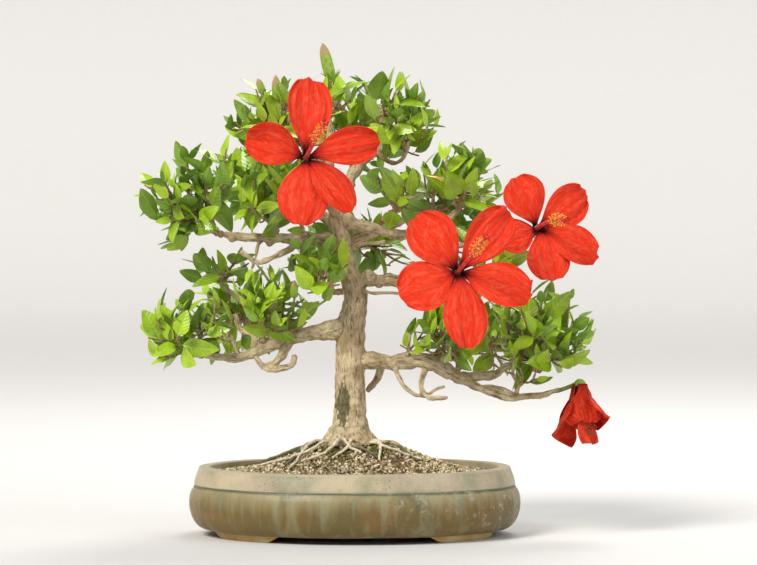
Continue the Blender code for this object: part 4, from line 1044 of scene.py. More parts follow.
def dress(item, material, slot, *nodes, smooth_angle=None):
    """Gives a piece its finish, lets it ride with the plant and stand for its solids."""
    if material:
        item.data.materials.clear()
        item.data.materials.append(material)
    if smooth_angle:
        pick(item)
        bpy.ops.object.shade_smooth_by_angle(angle=math.radians(smooth_angle))
    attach(item, "root")
    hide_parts(*nodes)
    return item


# --- materials ---------------------------------------------------------------------------------
def darker(colour, share):
    """The same colour at a share of its strength."""
    return tuple(share * value for value in colour)


class Finish:
    """Builds the nodes of one finish from a few plain steps."""

    def __init__(self, name, roughness, **sockets):
        self.material = bpy.data.materials.new(name)
        self.material.use_nodes = True
        self.tree = self.material.node_tree
        self.shader = self.tree.nodes["Principled BSDF"]
        self.shader.inputs["Roughness"].default_value = roughness
        for socket, value in sockets.items():
            self.shader.inputs[socket.replace("_", " ")].default_value = value
        self.object = self.tree.nodes.new("ShaderNodeTexCoord").outputs["Object"]

    def set(self, socket, source):
        """Links a socket to a source, or gives it a constant or a plain colour."""
        if isinstance(source, bpy.types.NodeSocket):
            self.tree.links.new(source, socket)
        elif socket.type == "RGBA":
            socket.default_value = (*source, 1.0)
        else:
            socket.default_value = source

    def node(self, kind, links, **settings):
        node = self.tree.nodes.new(kind)
        for name, value in settings.items():
            setattr(node, name, value)
        for socket, source in links.items():
            self.set(node.inputs[socket], source)
        return node

    def stretch(self, source, scale):
        return self.node("ShaderNodeMapping", {"Vector": source, "Scale": scale}).outputs["Vector"]

    def noise(self, source, scale, detail=4.0, rough=0.55, distortion=0.0):
        return self.node("ShaderNodeTexNoise", {
            "Vector": source, "Scale": scale, "Detail": detail, "Roughness": rough,
            "Distortion": distortion}).outputs["Fac"]

    def cells(self, source, scale):
        return self.node("ShaderNodeTexVoronoi", {"Vector": source, "Scale": scale}).outputs["Distance"]

    def attribute(self, name, output):
        return self.node("ShaderNodeAttribute", {}, attribute_name=name).outputs[output]

    def piece_map(self):
        """The piece's own map, and its two parts."""
        whole = self.node("ShaderNodeUVMap", {}, uv_map="UVMap").outputs["UV"]
        split = self.node("ShaderNodeSeparateXYZ", {"Vector": whole})
        return whole, split.outputs["X"], split.outputs["Y"]

    def range(self, value, low, high, start=0.0, end=1.0):
        return self.node("ShaderNodeMapRange", {
            "Value": value, "From Min": low, "From Max": high, "To Min": start,
            "To Max": end}).outputs["Result"]

    def sums(self, operation, first, second=0.0):
        return self.node("ShaderNodeMath", {0: first, 1: second}, operation=operation).outputs[0]

    def mix(self, factor, first, second):
        return self.node("ShaderNodeMix", {0: factor, 6: first, 7: second},
                         data_type="RGBA").outputs[2]

    def over(self, under, top, source, low, high, start=0.0, end=1.0):
        """Lays a colour over another, by start to end where the source runs from low to high."""
        return self.mix(self.range(source, low, high, start, end), under, top)

    def colour(self, source):
        self.set(self.shader.inputs["Base Color"], source)

    def bump(self, height, distance, strength=1.0):
        node = self.node("ShaderNodeBump", {"Height": height, "Strength": strength,
                                            "Distance": distance * MM})
        self.set(self.shader.inputs["Normal"], node.outputs["Normal"])


def mottled(name, light, dark, roughness, specular, scale, spread, grain=None, detail=4.0):
    """A finish that wanders between two colours; a grain is the scale and depth of its bump."""
    finish = Finish(name, roughness, Specular_IOR_Level=specular)
    finish.colour(finish.over(dark, light, finish.noise(finish.object, scale, detail),
                              0.5 - spread, 0.5 + spread))
    if grain:
        finish.bump(finish.noise(finish.object, grain[0]), grain[1])
    return finish.material


def stalk_finish(name, light, dark):
    return mottled(name, light, dark, 0.5, 0.5, 260.0, 0.15)


def grit_finish(name, light, dark):
    return mottled(name, light, dark, 0.92, 0.2, 330.0, 0.14, grain=(1300.0, 0.2))


def bark_finish(settings):
    """Pale bark with fine fissures, grey mottling, a mossy patch and ochre in broad patches."""
    finish = Finish("bark", 0.85, Specular_IOR_Level=0.25)
    grain = finish.attribute("grain", "Vector")
    fissures = finish.noise(finish.stretch(grain, (1.0, 1.0, 0.22)), 4.2, 8.0, 0.72)
    fine = finish.noise(finish.stretch(grain, (1.0, 1.0, 0.45)), 17.0, 6.0, 0.7)
    mottle = finish.noise(finish.object, 95.0, 5.0, 0.6)
    broad = finish.noise(finish.object, 26.0, 3.0, 0.5)
    pale, dark = tuple(settings.pale), tuple(settings.dark)
    colour = finish.over(BARK_TAN, pale, mottle, 0.33, 0.58)
    colour = finish.over(colour, BARK_OCHRE, broad, 0.50, 0.66, 0.0, 0.65)
    colour = finish.over(colour, dark, fissures, 0.36, 0.49, 0.85, 0.0)
    colour = finish.over(colour, BARK_GREY, fine, 0.52, 0.64, 0.0, 0.6)
    colour = finish.over(colour, dark, finish.cells(grain, 4.4), 0.05, 0.16, 0.75, 0.0)
    torn = finish.noise(finish.stretch(grain, (1.0, 1.0, 0.35)), 3.2, 5.0, 0.7)
    ragged = finish.sums("ADD", finish.attribute("moss", "Fac"),
                         finish.range(torn, 0.3, 0.7, -0.65, 0.55))
    finish.colour(finish.over(colour, MOSS_DARK, ragged, 0.48, 0.72, 0.0, 0.85))
    finish.bump(finish.sums("ADD", finish.range(fissures, 0.3, 0.6),
                            finish.range(fine, 0.3, 0.7, 0.0, 0.3)), 0.9)
    return finish.material


def leaf_finish(name, light, dark, roughness, coat):
    """A glossy leaf: a pale rib and side veins on its own map, over a soft change of green."""
    finish = Finish(name, roughness, Coat_Weight=coat, Coat_Roughness=0.12, Specular_IOR_Level=0.3)
    colour = finish.over(dark, light, finish.noise(finish.object, 70.0), 0.35, 0.65)
    _, across, along = finish.piece_map()
    aside = finish.sums("ABSOLUTE", finish.sums("SUBTRACT", across, 0.5))
    rib = finish.range(aside, 0.015, 0.05, 0.55, 0.0)
    slant = finish.sums("SUBTRACT", along, finish.sums("MULTIPLY", aside, 0.55))
    waves = finish.sums("SINE", finish.sums("MULTIPLY", slant, 44.0))
    veins = finish.range(waves, 0.80, 1.0, 0.0, 0.30)
    pale = tuple(0.45 * value + 0.55 * other for value, other in zip(light, LEAF_RIB))
    finish.colour(finish.mix(finish.sums("MAXIMUM", rib, veins), colour, pale))
    finish.bump(waves, 0.12, 0.6)
    return finish.material


def petal_finish(name, base, lit, eye, tube):
    """A thin petal: fine veins that run out from a dark eye, and a painted highlight in a paler colour on
    its raised folds.
    """
    finish = Finish(name, 0.55, Sheen_Weight=0.05, Sheen_Roughness=0.4, Specular_IOR_Level=0.2,
                    Sheen_Tint=(*lit, 1.0))
    whole, _, out = finish.piece_map()
    veins = finish.noise(finish.stretch(whole, (150.0, 2.2, 1.0)), 1.0, 4.0, 0.65, 0.6)
    crinkle = finish.noise(finish.stretch(whole, (46.0, 7.0, 1.0)), 1.0, 3.0, 0.6, 1.2)
    # painted highlight: the lit colour is laid on the crinkle's raised folds, where light would catch them
    colour = finish.over(base, lit, crinkle, 0.44, 0.68, 0.0, 0.6)
    colour = finish.over(colour, darker(base, 0.62), veins, 0.34, 0.52, 0.30, 0.0)
    edge = finish.sums("ADD", out, finish.range(veins, 0.3, 0.7, -0.05, 0.05))
    colour = finish.over(colour, PETAL_THROAT, edge, *tube, 0.85, 0.0)
    finish.colour(finish.over(colour, PETAL_EYE, edge, *eye, 1.0, 0.0))
    finish.bump(finish.sums("ADD", crinkle, finish.sums("MULTIPLY", veins, 0.8)), 1.5)
    return finish.material


def glaze_finish(settings):
    """Olive-beige glaze: greyer rim band, dark green in the groove, drips, specks and stains."""
    finish = Finish("glaze", 0.42, Coat_Weight=0.12, Coat_Roughness=0.25, Specular_IOR_Level=0.35)
    place = finish.object
    height = finish.node("ShaderNodeSeparateXYZ", {"Vector": place}).outputs["Z"]
    cloud = finish.noise(place, 16.0, 4.0, 0.6)
    fine = finish.noise(place, 120.0, 5.0, 0.65)
    patch = finish.noise(place, 21.0, 5.0, 0.65)
    streaks = finish.noise(finish.stretch(place, (70.0, 70.0, 5.0)), 1.0, 3.0, 0.6, 0.4)
    olive = tuple(settings.glaze)
    warm = tuple(value * share for value, share in zip(olive, GLAZE_WARMTH))
    upper = finish.sums("ADD", height, finish.range(streaks, 0.3, 0.7, -0.006, 0.006))
    body = finish.over(olive, warm, cloud, 0.38, 0.62)
    body = finish.over(body, GLAZE_UPPER, upper, 0.026, 0.044, 0.0, 0.9)
    body = finish.over(body, GLAZE_SHADE, patch, 0.50, 0.64, 0.0, 0.75)
    body = finish.over(body, GLAZE_GREEN, streaks, 0.50, 0.66, 0.0, 0.5)
    band = finish.over(tuple(settings.rim), GLAZE_ROSE, cloud, 0.46, 0.66, 0.0, 0.8)
    band = finish.over(band, GLAZE_GREEN, patch, 0.46, 0.64, 0.0, 0.8)
    groove = GROOVE_HEIGHT * MM
    wander = finish.sums("ADD", height, finish.range(cloud, 0.3, 0.7, -0.0006, 0.0006))
    colour = finish.over(body, band, wander, groove - 0.0002, groove + 0.0006)
    run = finish.noise(finish.stretch(place, (80.0, 80.0, 2.0)), 1.0, 2.0, 0.5)
    fall = finish.sums("MULTIPLY", finish.range(height, groove - 0.028, groove - 0.001),
                       finish.range(height, groove, groove + 0.0015, 1.0, 0.0))
    drips = finish.sums("MULTIPLY", finish.range(run, 0.60, 0.68), fall)
    colour = finish.over(colour, GLAZE_DRIP, drips, 0.1, 0.8, 0.0, 0.7)
    near = finish.sums("ABSOLUTE", finish.sums("SUBTRACT", wander, groove))
    colour = finish.over(colour, GLAZE_GROOVE, near, 0.0004, 0.0018, 0.8, 0.0)
    where = finish.range(finish.noise(place, 26.0, 2.0), 0.44, 0.58)
    specks = finish.range(finish.cells(place, 260.0), 0.10, 0.20, 0.8, 0.0)
    colour = finish.mix(finish.sums("MULTIPLY", specks, where), colour, GLAZE_SPECK)
    salt = finish.sums("MULTIPLY", finish.range(fine, 0.54, 0.66, 0.0, 0.8),
                       finish.range(finish.noise(place, 11.0, 2.0), 0.52, 0.64, 0.0, 0.8))
    colour = finish.mix(salt, colour, GLAZE_SALT)
    stain = finish.sums("MULTIPLY", finish.range(finish.noise(place, 24.0, 6.0, 0.7), 0.56, 0.70, 0.0, 0.7),
                        finish.range(height, 0.008, 0.034, 1.0, 0.25))
    colour = finish.mix(stain, colour, GLAZE_STAIN)
    lip = RIM_HEIGHT * MM
    finish.colour(finish.over(colour, GLAZE_LIP, height, lip - 0.0022, lip - 0.0006, 0.0, 0.6))
    finish.set(finish.shader.inputs["Roughness"], finish.range(fine, 0.3, 0.7, 0.34, 0.62))
    finish.bump(finish.sums("ADD", fine, finish.range(cloud, 0.3, 0.7, 0.0, 0.6)), 0.25)
    return finish.material


def clay_finish():
    finish = Finish("bare_clay", 0.85, Specular_IOR_Level=0.25)
    colour = finish.over(CLAY_OCHRE, CLAY_PALE, finish.noise(finish.object, 55.0, 5.0), 0.38, 0.64)
    finish.colour(finish.over(colour, CLAY_DARK, finish.noise(finish.object, 160.0, 4.0),
                              0.58, 0.72, 0.0, 0.6))
    finish.bump(finish.noise(finish.object, 420.0, 4.0), 0.3)
    return finish.material


# --- pot and soil ------------------------------------------------------------------------------
def share_of(value, low, high):
    """How far a value lies on the way from low to high, from 0 to 1."""
    return min(max((value - low) / (high - low), 0.0), 1.0)


def arc(centre, reach, start, end, steps):
    """Points of (half length, height) on an elliptical arc, angles in degrees from straight out."""
    angles = [math.radians(start + (end - start) * step / steps) for step in range(steps + 1)]
    return [(centre[0] + reach[0] * math.cos(angle), centre[1] + reach[1] * math.sin(angle))
            for angle in angles]


def pot_profile():
    """The pot's wall from the underside of its base, over the rim and down its inner wall."""
    belly_out = BELLY_HALF - BASE_HALF
    neck = (GROOVE_HALF - 0.9, GROOVE_HEIGHT + 1.3)
    top = RIM_HEIGHT - RIM_ROUND
    points = [(BASE_HALF - 1.2, BASE_HEIGHT)]
    points += arc((BASE_HALF, BELLY_HEIGHT), (belly_out, BELLY_HEIGHT - BASE_HEIGHT), -84, 0, 9)
    points += arc((BELLY_HALF - 5.0, BELLY_HEIGHT), (5.0, 13.0), 14, 74, 5)
    points += [(GROOVE_HALF - 0.6, GROOVE_HEIGHT - 1.0), (GROOVE_HALF - 1.5, GROOVE_HEIGHT - 0.3),
               (GROOVE_HALF - 1.6, GROOVE_HEIGHT + 0.4), neck]
    for step in range(1, RIM_STEPS + 1):
        share = step / RIM_STEPS
        points.append((neck[0] + (RIM_HALF - GROOVE_HALF + 0.9) * share ** 1.35,
                       neck[1] + (top - GROOVE_HEIGHT - 1.3) * share))
    points += arc((RIM_HALF - RIM_ROUND, top), (RIM_ROUND, RIM_ROUND), 20, 90, 5)
    points += arc((INNER_HALF + 2.0, RIM_HEIGHT - 2.0), (2.0, 2.0), 90, 180, 4)
    points += [(INNER_HALF, RIM_HEIGHT - 8.0), (INNER_HALF + 0.6, BELLY_HEIGHT + 6.0),
               (BASE_HALF - RIM_WALL, BASE_HEIGHT + 16.0), (BASE_HALF - RIM_WALL - 9.0, BASE_HEIGHT + 7.2)]
    return points


def oval_stack(name, profile, sides, capped=True):
    """Rings from a profile of (half length, height), narrowed to the pot's oval in its place."""
    item = ring_up(name, [(POT_X, 0.0, height, half) for half, height in profile], sides, capped)
    places = places_of(item)
    places[:, 1] *= POT_DEPTH_RATIO
    move_to(item, places)
    return item


def build_pot_body(unevenness):
    """The glazed pot, with the slight unevenness of a handmade surface."""
    pot = oval_stack("pot_glazed", pot_profile(), POT_SIDES)
    places = places_of(pot)
    for place in places:
        stray = noise.noise_vector(Vector(place) / WALL_WAVE + Vector((3.0, 0, 0)))
        place += np.array(stray) * unevenness
    move_to(pot, places)
    return pot


def build_pot_feet():
    """Four feet: one oval ring under the base, cut by the openings between them."""
    outer = BASE_HALF - FOOT_INSET
    seat = (outer + 0.6, BASE_HEIGHT + 1.5)
    section = [seat, (outer - 0.4, BASE_HEIGHT * 0.5), (outer - 1.4, 0.9), (outer - 2.6, 0.0),
               (outer - FOOT_WIDTH + 3.0, 0.0), (outer - FOOT_WIDTH + 1.6, 1.2),
               (outer - FOOT_WIDTH, BASE_HEIGHT + 1.5), seat]
    feet = oval_stack("pot_feet", section, POT_SIDES, capped=False)
    for along_x, (top, ground) in ((False, FRONT_OPENING), (True, SIDE_OPENING)):
        wedge = opening_wedge(along_x, top, ground)
        apply_modifier(feet, "BOOLEAN", operation="DIFFERENCE", object=wedge)
        bpy.data.objects.remove(wedge, do_unlink=True)
    apply_modifier(feet, "BEVEL", width=FOOT_ROUND * MM, segments=2, limit_method="ANGLE",
                   angle_limit=math.radians(50.0))
    return feet


def opening_wedge(along_x, top, ground):
    """A block that is wider at the ground, to cut the gap between two feet."""
    wedge = primitive(bpy.ops.mesh.primitive_cube_add, size=1.0)
    places = np.array([vert.co for vert in wedge.data.vertices])
    upper = places[:, 2] > 0
    width = np.where(upper, top, ground + (ground - top) * 0.5)
    length = np.full(len(places), 4 * BELLY_HALF)
    places[:, 0] *= length if along_x else width
    places[:, 1] *= width if along_x else length
    places[:, 2] = np.where(upper, BASE_HEIGHT + 0.1, -0.5 * BASE_HEIGHT)
    places[:, 0] += POT_X
    move_to(wedge, places)
    return wedge


def soil_height(half):
    """Height of the mound at a distance from the pot's middle, measured along the oval."""
    share = share_of(half, SOIL_SEAT_HALF, INNER_HALF)
    return SOIL_EDGE_HEIGHT + (SOIL_SEAT_HEIGHT - SOIL_EDGE_HEIGHT) * (1.0 - share) ** SOIL_HOLLOW


def hummock_height(ring, side):
    """Height of the mound at one of the points that its hummocks are laid out on."""
    half = SOIL_SEAT_HALF + (INNER_HALF - SOIL_PLAY - SOIL_SEAT_HALF) * ring / HUMMOCK_RINGS
    angle = math.tau * side / HUMMOCK_SIDES
    to_wall = share_of(INNER_HALF - half, 0.0, HUMMOCK_FADE)
    to_seat = share_of(half - SOIL_SEAT_HALF, 0.0, HUMMOCK_FADE)
    place = Vector((POT_X + half * math.cos(angle), half * math.sin(angle) * POT_DEPTH_RATIO, 0.0))
    return soil_height(half) + noise.noise(place / HUMMOCK_SIZE) * HUMMOCK_HEIGHT * to_wall * to_seat


HUMMOCKS = [[hummock_height(ring, side) for side in range(HUMMOCK_SIDES)]
            for ring in range(HUMMOCK_RINGS + 1)]


def soil_top(x, y):
    """Height of the mound between the four nearest points of its hummocks, with small clods."""
    half = math.hypot(x - POT_X, y / POT_DEPTH_RATIO)
    share = share_of(half, SOIL_SEAT_HALF, INNER_HALF - SOIL_PLAY) * HUMMOCK_RINGS
    ring = min(int(share), HUMMOCK_RINGS - 1)
    turn = math.atan2(y / POT_DEPTH_RATIO, x - POT_X) / math.tau * HUMMOCK_SIDES
    side = math.floor(turn)
    inner, outer = (HUMMOCKS[row][side % HUMMOCK_SIDES] * (side + 1 - turn)
                    + HUMMOCKS[row][(side + 1) % HUMMOCK_SIDES] * (turn - side)
                    for row in (ring, ring + 1))
    clods = noise.noise(Vector((x, y, 9.0)) / CLOD_SIZE) * CLOD_HEIGHT
    return inner + (outer - inner) * (share - ring) + clods


def build_mound():
    edge = INNER_HALF - 0.6
    halves = [edge * (1.0 - ring / SOIL_RINGS) for ring in range(SOIL_RINGS)]
    profile = [(edge, SOIL_EDGE_HEIGHT - SOIL_DEPTH)] + [(half, soil_height(half)) for half in halves]
    mound = oval_stack("soil_mound", profile, SOIL_SIDES)
    places = places_of(mound)
    for place in places:
        if place[2] > SOIL_EDGE_HEIGHT - 1.0:
            place[2] = soil_top(place[0], place[1]) - GRIT_DEPTH
    move_to(mound, places)
    return mound


def grain_shape():
    """The 12 corners and 20 faces of an icosahedron."""
    ball = primitive(bpy.ops.mesh.primitive_ico_sphere_add, subdivisions=1, radius=1.0)
    places = np.array([vert.co for vert in ball.data.vertices])
    faces = [tuple(face.vertices) for face in ball.data.polygons]
    bpy.data.objects.remove(ball, do_unlink=True)
    return places, faces


def grain_tint(x, y, rng):
    """Which grit lies here: reddish and olive patches, moss near the trunk, else mixed."""
    off_trunk = math.hypot(x - TRUNK_X, y)
    mossy = noise.noise(Vector((x, y, 40.0)) / MOSS_PATCH) * 1.7 + (MOSS_REACH - off_trunk) / 34.0
    if mossy + rng.uniform(-0.5, 0.5) > 0.75:
        return "moss" if rng.random() < 0.45 else "grit_olive"
    red = noise.noise(Vector((x, y, 80.0)) / RED_PATCH)
    if red + rng.uniform(-0.4, 0.4) > 0.55:
        return "grit_red"
    return rng.choice(GRIT_MIX)


def build_grains(grains, materials):
    """Coarse grit that covers the mound, as one mesh of small many-sided grains."""
    rng = random.Random(GRIT_SEED)
    shape, faces = grain_shape()
    heap = Heap(*GRIT_COLOURS)
    edge = INNER_HALF - 1.4
    while heap.count < grains * len(shape):
        x = POT_X + rng.uniform(-edge, edge)
        y = rng.uniform(-edge, edge) * POT_DEPTH_RATIO
        half = math.hypot(x - POT_X, y / POT_DEPTH_RATIO)
        if half > edge:
            continue
        tint = grain_tint(x, y, rng)
        radius = rng.uniform(*GRAIN_RADII) * (0.75 if tint in FINE_GRIT else 1.0)
        height = soil_top(x, y) + radius * rng.uniform(-1.0, 0.0)
        if math.hypot(x - TRUNK_X, y) < TRUNK_CORE:
            continue
        turn = Matrix.Rotation(rng.uniform(0, math.tau), 3, "Z") @ Matrix.Rotation(
            rng.uniform(0, math.pi), 3, "X")
        squash = np.array([rng.uniform(0.55, 1.35) for _ in range(3)]) * radius
        dents = np.array([rng.uniform(0.8, 1.15) for _ in shape])[:, None]
        places = (shape * dents * squash) @ np.array(turn).T + np.array((x, y, height))
        heap.add(places, faces, tint=tint)
    return heap.piece("soil_grit", materials, smooth_angle=None)


# --- trunk, boughs and roots -------------------------------------------------------------------
def root_line(bearing, reach, radius, drift, lift=0.0, steps=14):
    """A root that runs out from the flare and follows the fall of the soil."""
    angle = math.radians(bearing)
    outward = Vector((math.cos(angle), math.sin(angle), 0.0))
    sideways = Vector((-outward.y, outward.x, 0.0))
    foot = Vector(TRUNK_LINE[0][:3])
    points = []
    radii = taper((radius, ROOT_TIP_RADIUS), steps + 1)
    for step, thick in enumerate(radii):
        share = step / steps
        place = foot + outward * (ROOT_START + reach * share)
        place += sideways * drift * math.sin(share * 4.2)
        arch = lift * math.sin(math.pi * min(share * 1.6, 1.0))
        place.z = soil_top(place.x, place.y) + thick * 0.7 + 0.8 + arch
        points.append(place)
    return points, radii


def bowed(path, radii, spacing, seed):
    """A fine line with the small kinks and swellings of an old, often pruned limb."""
    points = finely(path, spacing)
    last = len(points) - 1
    out = []
    thick = []
    for index, (point, radius) in enumerate(zip(points, taper(radii, len(points)))):
        hold = min(index, last - index, 3) / 3
        sway = noise.noise_vector(point / 13.0 + Vector((seed, 0, 0))) * LIMB_SWAY * hold
        swell = 1.0 + LIMB_SWELL * noise.noise(point / 7.0 + Vector((0, seed, 0))) + 0.05
        out.append(point + sway)
        thick.append(radius * swell)
    return out, thick


def wood_tubes():
    """Every limb, spur and surface root as a finely stepped line with its radii."""
    tubes = [bowed(limb.path, limb.radii, 4.0, number) for number, limb in enumerate(LIMBS)]
    tubes += [bowed(path, radii, 3.0, 50 + number) for number, (radii, path) in enumerate(SPURS)]
    return tubes + [root_line(*root) for root in SURFACE_ROOTS]


def tubes_object(name, tubes):
    """Round tubes with closed ends through all the lines, as one mesh."""
    curve = bpy.data.curves.new(name, "CURVE")
    curve.dimensions = "3D"
    curve.bevel_depth = MM
    curve.bevel_resolution = 4
    curve.use_fill_caps = True
    for points, radii in tubes:
        spline = curve.splines.new("POLY")
        spline.points.add(len(points) - 1)
        for target, place, radius in zip(spline.points, points, radii):
            target.co = (*(place + PLANT_SHIFT) * MM, 1.0)
            target.radius = radius
    item = bpy.data.objects.new(name, curve)
    bpy.context.scene.collection.objects.link(item)
    pick(item)
    bpy.ops.object.convert(target="MESH")
    return bpy.context.object


def build_trunk_stack():
    """The trunk as a stack of rings, its foot swollen into buttresses."""
    stack = ring_up("trunk_stack", smooth_line(TRUNK_LINE, TRUNK_FINE), TRUNK_SIDES)
    places = places_of(stack)
    for place in places:
        above = (place[2] - SOIL_SEAT_HEIGHT) / FLARE_HEIGHT
        fade = math.exp(-2.2 * above * above)
        if fade < 0.02:
            continue
        aside = Vector((place[0] - TRUNK_X, place[1] - TRUNK_Y, 0.0))
        angle = math.atan2(aside.y, aside.x)
        swell = max(math.cos(angle - math.radians(bearing)) for bearing in BUTTRESS_ANGLES)
        rib = max(0.0, (swell - BUTTRESS_EDGE) / (1.0 - BUTTRESS_EDGE))
        place += np.array(aside.normalized()) * FLARE_DEPTH * fade * rib
    move_to(stack, places)
    return stack


def nearest_line(places, tubes):
    """For each place: across and along co-ordinates on the nearest line, and its radius there."""
    starts, runs, sides, overs, radii, passed = [], [], [], [], [], []
    for number, (points, thick) in enumerate(tubes):
        travelled = 37.0 * number
        for index, (side, over) in enumerate(side_frames(points)[:-1]):
            run = points[index + 1] - points[index]
            starts.append(points[index])
            runs.append(run)
            sides.append(side)
            overs.append(over)
            radii.append(thick[index])
            passed.append(travelled)
            travelled += run.length
    starts, runs, sides, overs = (np.array(rows, float) for rows in (starts, runs, sides, overs))
    radii, passed = np.array(radii), np.array(passed)
    squares = np.maximum((runs ** 2).sum(1), 1e-9)
    grain = np.zeros((len(places), 3))
    thick = np.zeros(len(places))
    for low in range(0, len(places), BLOCK):
        block = places[low:low + BLOCK]
        part = slice(low, low + len(block))
        offsets = block[:, None] - starts
        shares = np.clip((offsets * runs).sum(2) / squares, 0.0, 1.0)
        across = offsets - shares[..., None] * runs
        index = (np.linalg.norm(across, axis=2) - radii).argmin(1)
        rows = np.arange(len(block))
        out = across[rows, index]
        grain[part, 0] = (out * sides[index]).sum(1)
        grain[part, 1] = (out * overs[index]).sum(1)
        grain[part, 2] = passed[index] + shares[rows, index] * np.sqrt(squares[index])
        thick[part] = radii[index]
    return grain, thick


def add_attribute(item, name, kind, values):
    attribute = item.data.attributes.new(name, kind, "POINT")
    key = "vector" if kind == "FLOAT_VECTOR" else "value"
    attribute.data.foreach_set(key, np.asarray(values, np.float32).ravel())


def bark_relief(item, tubes, relief):
    """Raises fissures, lumps and scars on the fused wood, and keeps the grain for its finish."""
    places = places_of(item)
    normals = np.zeros(places.size)
    item.data.vertex_normals.foreach_get("vector", normals)
    grain, thick = nearest_line(places, tubes)
    depth = np.zeros(len(places))
    moss = np.zeros(len(places))
    for index, (place, (u, v, w), radius) in enumerate(zip(places, grain, thick)):
        size = min(radius / 12.0, 1.0)
        ridges = noise.noise(Vector((u / 2.1, v / 2.1, w / 11.0)))
        rings = noise.noise(Vector((u / 9.0, v / 9.0, w / 2.6)))
        lumps = noise.noise(Vector(place) / 6.5)
        fine = noise.noise(Vector(place) / 2.4)
        depth[index] = (0.55 * ridges + 0.28 * rings) * (0.35 + 0.65 * size) + lumps * (
            0.45 + 0.75 * size) + 0.28 * fine
        left = (place[0] - MOSS_X) / MOSS_HALF
        spot = 1.25 - ((place[2] - MOSS_HEIGHT) / MOSS_RISE) ** 2 - left * left
        moss[index] = spot * (1.0 if place[1] < 4.0 else 0.4)
        if place[2] < MOSS_FOOT:
            moss[index] = max(moss[index], 0.52 - (place[2] - 84.0) * 0.07)
    move_to(item, places + normals.reshape(-1, 3) * depth[:, None] * relief)
    add_attribute(item, "grain", "FLOAT_VECTOR", grain * 0.1)
    add_attribute(item, "moss", "FLOAT", np.clip(moss, 0.0, 1.0))


def build_wood(relief):
    """Trunk, boughs, roots, knobs and spurs fused into one skin with the bark's relief."""
    tubes = wood_tubes()
    parts = [build_trunk_stack(), tubes_object("limb_tubes", tubes)]
    for place, radius in KNOBS:
        parts.append(primitive(bpy.ops.mesh.primitive_uv_sphere_add, segments=16, ring_count=10,
                               radius=radius * KNOB_SHARE * MM, location=(Vector(place) + PLANT_SHIFT) * MM))
    wood = join(parts, "bark_wood")
    apply_modifier(wood, "REMESH", mode="VOXEL", voxel_size=VOXEL * MM)
    apply_modifier(wood, "SMOOTH", factor=0.5, iterations=3)
    line = smooth_line(TRUNK_LINE, TRUNK_FINE)
    tubes.append(([Vector(point[:3]) for point in line], [point[3] for point in line]))
    bark_relief(wood, tubes, relief)
    return wood


def build_fine_roots():
    heap = Heap()
    for root in FINE_ROOTS:
        points, radii = root_line(*root, steps=18)
        points = [point + noise.noise_vector(point / 6.0) * 0.8 for point in points]
        radii = [thick * (0.9 + 0.25 * noise.noise(point / 3.0)) for point, thick in zip(points, radii)]
        heap.add(*tube_shape(points, radii, 9))
    return heap.piece("fine_roots", {})


# --- blossom -----------------------------------------------------------------------------------
def smooth_step(value, low, high):
    share = share_of(value, low, high)
    return share * share * (3.0 - 2.0 * share)


def beyond_widest(along):
    """How far a place lies on the way from the petal's widest part to its tip."""
    return max(0.0, (along - PETAL_WIDEST) / (1.0 - PETAL_WIDEST))


def petal_along(u, v):
    """Distance along the petal of a place on its grid, which ends in a round lip."""
    if v <= PETAL_WIDEST:
        return v
    share = beyond_widest(v)
    drop = 1.0 - math.sqrt(1.0 - (math.sin(PETAL_ROUND) * u) ** 2)
    weight = drop / (1.0 - math.cos(PETAL_ROUND))
    reach = share * (1.0 - weight) + math.sin(PETAL_ROUND * share) * weight
    return PETAL_WIDEST + (1.0 - PETAL_WIDEST) * reach


def petal_half(along, half):
    """Half width of a petal: a narrow claw, widest at two thirds, a broad round end."""
    claw = 0.14 + 0.86 * smooth_step(along, 0.11, PETAL_WIDEST)
    return half * claw * math.cos(PETAL_ROUND * beyond_widest(along))


def petal_line(start, axis, outward, tip, belly):
    """The middle line of a petal: out of the tube along the axis, then bent to its tip."""
    length = (tip - start).length
    first = start + axis * length * 0.26
    second = start + (tip - start) * 0.55 + axis * (length * 0.10 + belly) - outward * length * 0.04
    return lambda t: (start * (1 - t) ** 3 + first * 3 * t * (1 - t) ** 2
                      + second * 3 * t * t * (1 - t) + tip * t ** 3)


def petal_lift(u, v, phase, crumple):
    """Folds and ruffles of a petal's face, the deepest at its lip."""
    folds = ((0.55, math.sin(u * 11.0 + phase + 0.8 * math.sin(v * 4.0)), 0.2, 0.7),
             (0.30, math.sin(u * 23.0 + 2.0 * phase + v * 3.0), 0.3, 0.8),
             (1.5, math.sin(u * 4.6 + phase * 1.7), 0.62, 1.0))
    lift = sum(crumple * depth * wave * smooth_step(v, low, high) for depth, wave, low, high in folds)
    return lift + crumple * 1.1 * noise.noise(Vector((u * 2.5, v * 3.0, phase * 3.1)))


